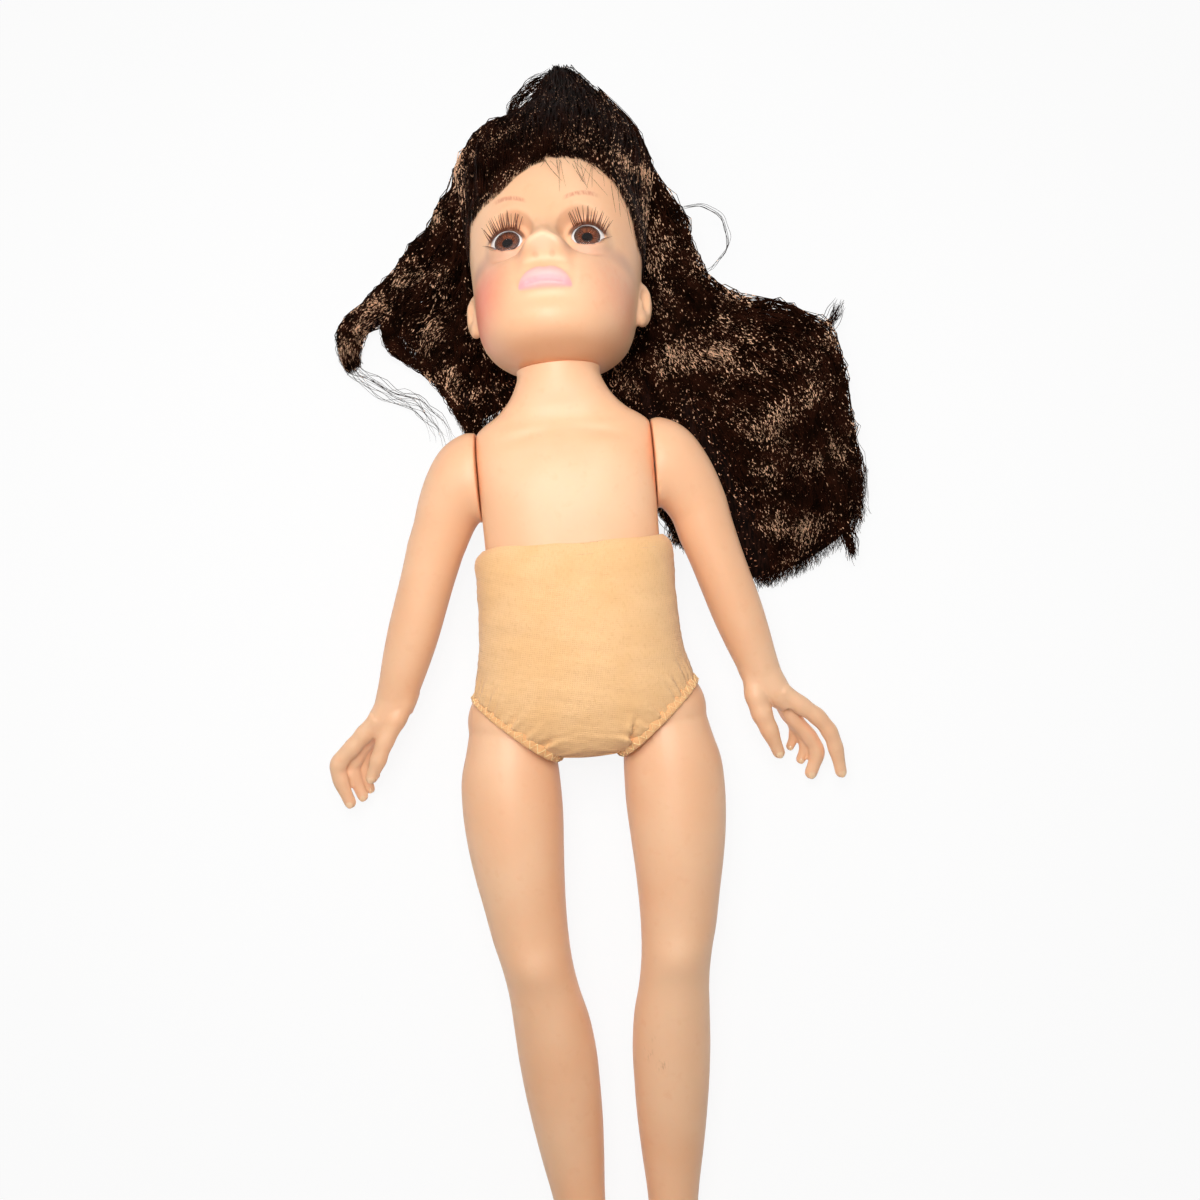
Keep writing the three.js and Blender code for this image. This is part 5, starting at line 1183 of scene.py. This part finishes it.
LOCK_LINES = [
    [[-6, 268, 34], [-30, 246, 44], [-38, 228, 35], [-47, 215, 25], [-58, 205, 20], [-68, 198, 17], [-76, 192, 14],
     [-80, 186, 11], [-76, 180, 9], [-70, 175, 7]],
    [[-7, 264, 36], [-29, 243, 42], [-39, 222, 34], [-46, 211, 24], [-57, 202, 19], [-68, 195, 16], [-76, 190, 13],
     [-78, 184, 10], [-74, 178, 8], [-68, 173, 6]],
    [[-10, 260, 36], [-31, 237, 40], [-37, 216, 32], [-43, 200, 22], [-52, 190, 18], [-62, 182, 16], [-67, 176, 13],
     [-65, 171, 10], [-58, 167, 8], [-52, 160, 6]],
    [[-12, 257, 36], [-31, 230, 38], [-37, 208, 30], [-40, 190, 22], [-47, 177, 17], [-54, 167, 14], [-55, 161, 11],
     [-51, 155, 8], [-48, 148, 6], [-47, 142, 4]],
    [[-18, 258, 40], [-32, 225, 36], [-37, 200, 26], [-38, 179, 20], [-41, 164, 16], [-44, 155, 13], [-45, 149, 10],
     [-45, 142, 8], [-44, 136, 6], [-44, 131, 4]],
    [[-16, 257, 34], [-30, 221, 30], [-34, 192, 22], [-35, 171, 16], [-35, 158, 13], [-35, 151, 10], [-35, 145, 8],
     [-36, 139, 7], [-36, 135, 6], [-37, 130, 4]],
    [[-14, 256, 34], [-29, 220, 28], [-31, 190, 20], [-27, 174, 14], [-22, 166, 12], [-19, 159, 11], [-18, 153, 10],
     [-18, 149, 8], [-20, 145, 6], [-22, 142, 5]],
]
MASS_LINES = [
    [[27, 277, 40], [41, 255, 42], [48, 239, 36], [59, 227, 26], [64, 214, 20], [69, 197, 18], [85, 184, 20],
     [111, 176, 20], [125, 160, 17], [127, 133, 15], [130, 108, 13], [131, 85, 9]],
    [[28, 270, 44], [41, 247, 44], [47, 229, 38], [53, 216, 28], [59, 202, 22], [65, 186, 20], [83, 173, 22],
     [107, 162, 22], [118, 146, 20], [120, 121, 18], [123, 97, 15], [122, 73, 8]],
    [[29, 265, 46], [42, 240, 44], [45, 222, 38], [51, 205, 28], [61, 191, 22], [69, 172, 22], [84, 160, 23],
     [99, 148, 23], [107, 130, 22], [109, 108, 20], [111, 86, 16], [108, 64, 7]],
    [[30, 260, 46], [41, 234, 42], [44, 216, 36], [47, 197, 26], [56, 179, 22], [65, 162, 22], [77, 148, 20],
     [89, 133, 22], [95, 115, 22], [96, 95, 20], [98, 76, 15], [97, 59, 6]],
    [[31, 255, 44], [42, 229, 38], [43, 209, 32], [45, 188, 24], [51, 169, 20], [59, 152, 17], [68, 135, 15],
     [76, 118, 19], [82, 101, 21], [85, 85, 19], [88, 69, 14], [85, 55, 6]],
    [[31, 252, 38], [42, 223, 32], [43, 200, 26], [43, 179, 20], [46, 161, 18], [51, 142, 16], [56, 128, 14],
     [62, 115, 12], [68, 98, 12], [73, 82, 11], [77, 68, 9], [81, 55, 5]],
    [[31, 251, 34], [43, 220, 29], [43, 197, 23], [42, 175, 18], [43, 157, 17], [46, 141, 14], [50, 128, 12],
     [54, 115, 10],
     [58, 99, 9], [63, 86, 8], [65, 74, 6], [64, 62, 4]],
    [[32, 250, 30], [43, 217, 26], [43, 194, 20], [40, 171, 17], [40, 153, 15], [42, 140, 12], [44, 129, 9],
     [46, 116, 7], [49, 101, 6], [53, 90, 5], [52, 81, 4], [49, 74, 3]],
    [[32, 249, 24], [41, 216, 20], [39, 193, 17], [35, 170, 15], [33, 154, 13], [32, 143, 11], [35, 135, 8],
     [37, 121, 6], [40, 105, 5], [41, 93, 4], [42, 85, 3.5], [43, 79, 3]],
    [[33, 250, 22], [39, 214, 18], [35, 192, 15], [27, 174, 13], [21, 163, 12], [19, 154, 10], [20, 149, 8],
     [24, 144, 7],
     [29, 140, 6], [33, 138, 5], [35, 136, 4], [38, 134, 4]],
]


def kept_out(points, table, power, grow):
    """Points inside a body of level rings are moved out to its surface, straight away from its upright axis."""
    rows = rows_between(table, np.linspace(0, len(table) - 1, 300))
    x, y, z = np.moveaxis(points, -1, 0)
    half, front, back = (np.interp(y, rows[:, 0], rows[:, k]) for k in (1, 2, 3))
    middle, deep, half = (front + back) / 2, (front - back) / 2 + grow, half + grow
    reach = (np.abs(x / half) ** power + np.abs((z - middle) / deep) ** power) ** (1 / power)
    inside = (reach < 1) & (y > rows[0, 0]) & (y < rows[-1, 0])
    factor = np.where(inside, 1 / np.maximum(reach, 0.05), 1)
    return np.stack([x * factor, y, middle + (z - middle) * factor], -1)


def cleared(points):
    """Hair points, in the frame's millimetres, moved out of the head, the chest, the arms and the surface below."""
    head_origin = origin * 1000
    points = kept_out((points - head_origin) @ axes, HEAD, HEAD_POWER, 0.5) @ axes.T + head_origin
    in_body = kept_out(turned(points - HIPS_AT, -TORSO_LIFT), PLATE, 2.4, 0.8)
    points = turned(in_body, TORSO_LIFT) + HIPS_AT
    for name in ("left", "right"):
        along = arm_axes(name)[0]
        top = arm_place(np.array([44.0, -3, 0]), name) * 1000
        foot = arm_place(ARM_ROOT + along * 96, name) * 1000
        line = foot - top
        share = np.clip(((points - top) @ line) / (line @ line), 0, 1)
        nearest = top + share[..., None] * line
        away = points - nearest
        distance = np.linalg.norm(away, axis=-1)
        radius = np.interp(share, [0, 0.2, 0.35, 1], [17.0, 14.5, 12.6, 9.6])
        factor = np.where(distance < radius, radius / np.maximum(distance, 0.5), 1)
        points = nearest + away * factor[..., None]
    points[..., 2] = np.maximum(points[..., 2], 0.5)
    return points


def along_curves(control, count):
    """Points at even steps on Catmull-Rom curves through rows of control points."""
    t = np.linspace(0, control.shape[1] - 1, count)
    first = np.minimum(t.astype(int), control.shape[1] - 2)
    near = (control[:, np.clip(first + k, 0, control.shape[1] - 1)] for k in (-1, 0, 1, 2))
    return curve(*near, (t - first)[:, None])


def across_lines(lines, u):
    """Control points at fractional places u across a table of flow lines."""
    lines = np.asarray(lines, float)
    first = np.clip(u.astype(int), 0, len(lines) - 2)
    f = np.clip(u - first, 0, 1)[:, None, None]
    return lines[first] * (1 - f) + lines[first + 1] * f


def waved(paths, group, chance, wave, pitch, frizz):
    """Each lock's own wave, round its strands' line, and each strand's own small frizz; both grow from the root."""
    ahead = np.gradient(paths, axis=1)
    step = np.linalg.norm(ahead, axis=2)
    ahead /= np.maximum(step, 1e-6)[..., None]
    beside = np.cross(FRONT, ahead)
    beside /= np.maximum(np.linalg.norm(beside, axis=2), 1e-6)[..., None]
    s = np.cumsum(step, axis=1)
    t = np.linspace(0, 1, paths.shape[1])
    groups = group.max() + 1
    phase, drift = chance.uniform(0, 6.28, (2, groups))[:, group][:, :, None]
    length = chance.normal(pitch, pitch * 0.16, groups)[group][:, None]
    height = (chance.uniform(0.5, 1.3, groups)[group][:, None] * wave + chance.normal(0, 0.25, (len(group), 1)) * wave)
    height = height * smooth(t, 0.08, 0.4)
    turn = 2 * np.pi * s / length + phase + chance.normal(0, 0.35, (len(group), 1))
    small = 2 * np.pi * s / chance.uniform(10, 18, (len(group), 1)) + chance.uniform(0, 6.28, (len(group), 1))
    curl = height * np.sin(turn) + frizz * smooth(t, 0.02, 0.3) * np.sin(small)
    lift = 0.7 * height * np.cos(turn * 0.93 + drift) + 0.8 * frizz * np.cos(small * 1.13) * smooth(t, 0.02, 0.3)
    return paths + curl[..., None] * beside + lift[..., None] * FRONT


def flowing(lines, count, locks, steps, seed, tight=0.55, wave=1.9, pitch=24, frizz=0.45, spread=0.35, low=0.35):
    """Strands along flow lines: each belongs to a lock, lies at its own depth and is drawn to the lock's middle."""
    chance = np.random.default_rng(seed)
    middle = chance.uniform(0, len(lines) - 1, locks)
    group = chance.integers(0, locks, count)
    u = np.clip(middle[group] + chance.normal(0, spread, count), 0, len(lines) - 1.001)
    control = across_lines(lines, u)
    control[:, -1] += (control[:, -1] - control[:, -2]) * chance.uniform(-0.7, 0.2, (count, 1))
    control[:, 1:, :2] += chance.normal(0, 0.8, (count, control.shape[1] - 1, 2))
    heart = along_curves(across_lines(lines, middle), steps)[group]
    paths = along_curves(control, steps)
    t = np.linspace(0, 1, steps)[:, None]
    paths += (heart - paths) * tight * t
    depth = np.clip(chance.uniform(low, 1.05, locks)[group] + chance.normal(0, 0.1, count), 0.12, 1.1)
    paths[..., 2] *= depth[:, None]
    return cleared(waved(paths, group, chance, wave, pitch, frizz)), group


def strand_tubes(paths, radius):
    """Closed three-sided tubes that taper to both ends: a ring at each point of each path."""
    count, steps = paths.shape[:2]
    t = np.linspace(0, 1, steps)
    size = radius[:, None] * (0.35 + 0.65 * np.minimum(1, np.minimum(t * 12, (1 - t) * 4)))
    rings = paths[:, :, None] + size[:, :, None, None] * spokes(paths, 3)
    corner = np.arange(count * steps * 3).reshape(count, steps, 3)
    next_corner = np.roll(corner, -1, axis=2)
    quads = np.stack([corner[:, :-1], next_corner[:, :-1], next_corner[:, 1:], corner[:, 1:]], -1).reshape(-1, 4)
    return rings.reshape(-1, 3) / 1000, quads, np.concatenate([corner[:, 0, ::-1], corner[:, -1]])


fibre = Finish("hair_fibre", 0.3, Specular_IOR_Level=0.03, Specular_Tint=(1.0, 0.62, 0.42, 1))
glint = fibre.node("ShaderNodeAttribute", {"attribute_name": "glint"}, output="Fac")
tone = fibre.mix(fibre.noise(160, 3).step(0.35, 0.7), paint(18, 7, 3), paint(48, 23, 14))
# Painted glints: each strand has its own run of light specks in its colour, about 2 mm long, laid out by its length
# from the root
run = fibre.node("ShaderNodeAttribute", {"attribute_name": "run"}, output="Fac")
streak = fibre.node("ShaderNodeTexNoise", {"noise_dimensions": "1D"}, {"W": run, "Scale": 1.0, "Detail": 1.0})
level = streak * 0.6 + fibre.noise(800, 1) * 0.4 + glint * fibre.noise(60, 3).step(0.36, 0.66) * 0.2
# Painted highlights: a brown halo and pale copper specks are laid into the colour where the level runs high
tone = fibre.mix(level.step(0.6, 0.7) * 0.45, tone, paint(104, 60, 42))
fibre.feed("Base Color", fibre.mix(level.step(0.67, 0.73), tone, paint(255, 206, 168)))
fibre.feed("Roughness", fibre.noise(400, 2) * 0.15 + 0.38)


def hair_piece(title, paths, group, radius, seed, shine=0.5):
    """One piece of strands. Per point, glint sets the painted glints in its colour and run how far it lies along."""
    chance = np.random.default_rng(seed)
    count, steps = paths.shape[:2]
    piece = made(title, [strand_tubes(paths, chance.uniform(0.75, 1.25, count) * radius)])
    value = shine * (1 + chance.normal(0, 0.5, group.max() + 1)[group] + chance.normal(0, 0.3, count))[:, None]
    # Painted highlights: more glints in a band across the mass and at the right temple. Painted shade: fewer glints in
    # the dark hollows in the mass and beside the right cheek
    x, y = paths[..., 0], paths[..., 1]
    band, hollow = np.hypot((x - 72) / 16, (y - 158) / 5), np.hypot((x - 80) / 12, (y - 139) / 8)
    hollow = np.minimum(hollow, np.hypot((x + 41) / 9, (y - 218) / 13))
    temple = np.hypot((x + 20) / 16, (y - 226) / 7) + 9 * (paths[..., 2] < 34)
    value = value * (1 - 0.9 * np.exp(-(hollow ** 2))) + 0.5 * np.exp(-(band ** 2)) + np.exp(-(temple ** 2))
    length = np.cumsum(np.linalg.norm(np.gradient(paths, axis=1), axis=2), axis=1)
    run = length / 2.0 + chance.uniform(0, 5000, count)[:, None]
    for kind, values in (("glint", np.clip(value, 0, 1.3)), ("run", run)):
        attribute = piece.data.attributes.new(kind, "FLOAT", "POINT")
        attribute.data.foreach_set("value", np.repeat(values.ravel(), 3))
    piece.data.materials.append(fibre.material)
    return piece


def mound(outline, heights):
    """Rings of a rounded mound over a smooth outline; each height has its share of the outline's width."""
    edge = np.array(outline + outline[:3], float)
    ring = rows_between(edge, np.linspace(1, len(outline) + 1, 220, endpoint=False))
    middle = ring.mean(axis=0)
    rows = rows_between(heights, np.linspace(0, len(heights) - 1, 30))
    rings = middle + (ring - middle)[None] * rows[:, 1, None, None]
    return np.concatenate([rings, np.broadcast_to(rows[:, 0, None, None], rings.shape[:2] + (1,))], -1)


def beside_head(piece, side):
    """Bakes the piece's placement into its mesh; points at the temple and past the shoulder are found but not used."""
    start, end = ((side * x, y, z) for x, y, z in ((0.046, 0.205, 0.02), (0.078, 0.170, 0.02)))
    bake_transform(piece)
    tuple(start)
    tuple(end)


def matted(title, rings, node):
    """Matted fibre under the strands: closed rings with a lumpy surface, moved clear of the doll."""
    rings = rings + waves(rings, 8, 22)[..., None] * (1.4, 1.4, 0.9) + waves(rings, 9, 9)[..., None] * (0.7, 0.7, 0.5)
    mat = made(title, [skinned(rings, lambda points: cleared(points) / 1000)])
    mat.data.materials.append(felt.material)
    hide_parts(node)
    return mat


felt = Finish("matted_fibre", 0.7, Specular_IOR_Level=0.03)
streaks = felt.noise(900, 4, felt.stretched((1.0, 0.25, 0.6)))
dark = felt.mix(streaks.step(0.4, 0.7), paint(13, 6, 4), paint(40, 21, 15))
# Painted glints: pale copper specks laid into the matted fibre's colour
glints = (felt.noise(900, 1) + felt.noise(55, 2) * 0.1).step(0.72, 0.78)
felt.feed("Base Color", felt.mix(glints, dark, paint(190, 130, 100)))
felt.bump(streaks, 0.0006)
bed_mat = matted("bed_mat", mound(BED, [[0.6, 0.95], [5, 1], [10, 0.95]]), "hair_bed")
mass_mat = matted("mass_mat", mound(MASS, [[0.6, 0.9], [6, 0.93], [11, 0.84], [13.5, 0.6]]), "hair_mass_left")
lock_mat = matted("lock_mat", mound(LOCK, [[0.6, 0.8], [4, 0.82], [7, 0.7], [9, 0.4]]), "hair_lock_right")
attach(bed_mat, "head")
beside_head(mass_mat, 1)
beside_head(lock_mat, -1)


def scalp(angle, start, grow=0.2):
    """Points on the skull at angles round the head's upright axis and at heights, in the frame's millimetres."""
    rows = np.array(HEAD, float)
    half, front, back = (np.interp(start, rows[:, 0], rows[:, k]) for k in (1, 2, 3))
    c, s = squircle(angle, HEAD_POWER)
    place = [(half + grow) * c, start, (front + back) / 2 + ((front - back) / 2 + grow) * s]
    return np.stack(place, -1) @ axes.T + origin * 1000


def hairline(angle):
    """The hairline's height at each angle round the head: high over the forehead, low at the nape, up at the ears."""
    bearing = np.degrees(np.arctan2(np.sin(angle), np.abs(np.cos(angle))))
    line = 22 + 50 * smooth(bearing, -40, 75) + 8 * ridge(bearing - 4, 9)
    return line - 12 * ridge(bearing - 62, 22) * (np.cos(angle) < 0)


def lifted(angle, depth):
    """Control points over the crown at angles round the head; at a depth below 1 they lie inside the outer lines."""
    turn = (np.degrees(angle) + 130) % 360 - 130
    u = np.interp(turn, CROWN_ANGLES, np.arange(len(CROWN_ANGLES)))
    control = across_lines(CROWN_LINES, np.clip(u, 0, len(CROWN_ANGLES) - 1.001))
    heart = np.linspace((3, 214, 44), (10, 280, 20), 6)
    heart = np.concatenate([heart, [(10, 280, 12), (10, 272, 7)]])
    return heart + (control - heart) * depth[:, None, None]


def crown_strands(count, locks, steps, seed):
    """Strands rooted over the skull above the hairline, drawn up over it to the hump and down behind it."""
    chance = np.random.default_rng(seed)
    middle = np.radians(chance.uniform(-130, 230, locks))
    group = chance.integers(0, locks, count)
    angle = middle[group] + chance.normal(0, 0.05, count)
    # Most strands are rooted near the hairline and lie on top; the others are rooted all over the scalp above it
    above = chance.exponential(1.0, count) * np.where(chance.random(count) < 0.6, 1.5, 14)
    root = scalp(angle, np.minimum(hairline(angle) + above, 88))
    depth = np.clip(1 - above / 60 + chance.normal(0, 0.03, count), 0.6, 1.05)
    control = np.concatenate([root[:, None], lifted(angle, depth)], 1)
    control[:, 1:] += chance.normal(0, 0.7, (count, control.shape[1] - 1, 3))
    return cleared(waved(along_curves(control, steps), group, chance, 0.6, 26, 0.25)), group, angle


turn = full_turn(72)
rooted = scalp(turn, hairline(turn) + 10, -2.5)[:, None]
core = along_curves(np.concatenate([rooted, lifted(turn, np.full(72, 0.8))], 1), 30)
crown_mat = matted("crown_mat", core.transpose(1, 0, 2), "hair_crown")
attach(crown_mat, "head")
for part in range(2):
    paths, group, angle = crown_strands(1600, 90, 20, 31 + part)
    t = np.linspace(0, 1, 20)
    aside = np.cos(angle[:, None])
    # Painted glints: a band of them near the roots, strongest at the sides of the head
    bands = 0.22 + 0.8 * ridge(t - 0.2, 0.12) * np.abs(aside)
    crown = hair_piece(f"crown_strands_{part + 1}", paths, group, 0.2, 51 + part, bands)
    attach(crown, "head")
    if part == 0:
        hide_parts("hair_cap")
for title, lines, parts, count, locks, steps, side, shine in (
    ("mass", MASS_LINES, 4, 640, 60, 43, 1, 0.62), ("lock", LOCK_LINES, 1, 1000, 26, 32, -1, 0.85),
    ("curl", CURL_LINES, 1, 700, 14, 34, -1, 0.85),
):
    for part in range(parts):
        paths, group = flowing(lines, count, locks, steps, 171 + part + 10 * side + steps)
        tress = hair_piece(f"{title}_strands_{part + 1}", paths, group, 0.2, 91 + part, shine)
        beside_head(tress, side)


# Stray hair.
# Single fibres that leave the mass: fine bangs on the forehead, a loop over the right mass, the wisps under the curled
# lock, the twisted tuft by the outer edge and the thin spot on the hump.
# Each has its path in the frame's millimetres, its number of fibres, their spread and their radius.
STRAYS = {
    "loop": ([[62, 231, 18], [72, 233, 15], [80, 227, 13], [82, 217, 13], [77, 206, 13], [66, 199, 16]], 4, 0.5, 0.12),
    "wisp_out": ([[-100, 183, 8], [-97, 175, 7], [-94, 169, 6], [-83, 162, 5], [-73, 156, 5], [-64, 151, 4],
                  [-58, 143, 4], [-54, 133, 4]], 10, 1.9, 0.1),
    "wisp_in": ([[-98, 181, 8], [-96, 173, 6], [-88, 163, 5], [-78, 157, 4], [-70, 153, 4], [-64, 147, 4],
                 [-60, 138, 3]], 6, 2.2, 0.08),
    "tuft": ([[111, 114, 22], [113, 100, 22], [115, 89, 21], [116, 78, 19], [119, 70, 16], [121, 64, 11]],
             90, 0.9, 0.2),
    "tip_up": ([[104, 158, 20], [113, 163, 17], [121, 169, 14], [127, 176, 12], [130, 180, 11]], 40, 1.4, 0.14),
    "thin_spot": ([[-13, 270, 34], [-12, 280, 30], [-7, 289, 26], [0, 295, 26], [8, 297, 26]], 60, 1.4, 0.12),
}
for title, (line, count, spread, radius) in STRAYS.items():
    chance = np.random.default_rng(len(title) + count)
    control = np.array(line, float)[None] + np.cumsum(chance.normal(0, spread * 0.45, (count, len(line), 3)), axis=1)
    control += chance.normal(0, spread * 0.6, (count, 1, 3))
    group = np.arange(count) // 9
    paths = cleared(waved(along_curves(control, 24), group, chance, 0.8, 16, 0.25))
    stray = hair_piece(f"stray_{title}", paths, group, radius, count, 0.2)
    if title == "loop":
        beside_head(stray, 1)
    else:
        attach(stray, "head" if title == "thin_spot" else "torso")
# Fine bangs over the left half of the forehead, at a small height over the skin
chance = np.random.default_rng(17)
count = 30
x = chance.uniform(0, 31, count)
y = 69.5 - np.clip(x - 24, 0, 9) * 1.4 + chance.uniform(-1, 3, count)
drop, sway = chance.uniform(5, 13, count) * (chance.random(count) < 0.7) + 3, chance.normal(2, 3.2, count)
rows = np.array(HEAD, float)
stations = []
for share, lift in ((0, 0.6), (0.3, 2.2), (0.65, 1.6), (1, 0.7)):
    high, wide = y - drop * share, x + sway * share ** 1.6
    half, front, back = (np.interp(high, rows[:, 0], rows[:, k]) for k in (1, 2, 3))
    rise = (1 - np.abs(wide / half) ** HEAD_POWER) ** (1 / HEAD_POWER)
    skin = (front + back) / 2 + (front - back) / 2 * rise + face_relief(wide, high)
    stations.append(np.stack([wide, high, skin + lift], -1))
paths = along_curves(np.stack(stations, 1) @ axes.T + origin * 1000, 16)
bangs = hair_piece("fine_bangs", paths, np.arange(count) // 5, 0.06, 5, 0.5)
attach(bangs, "head")


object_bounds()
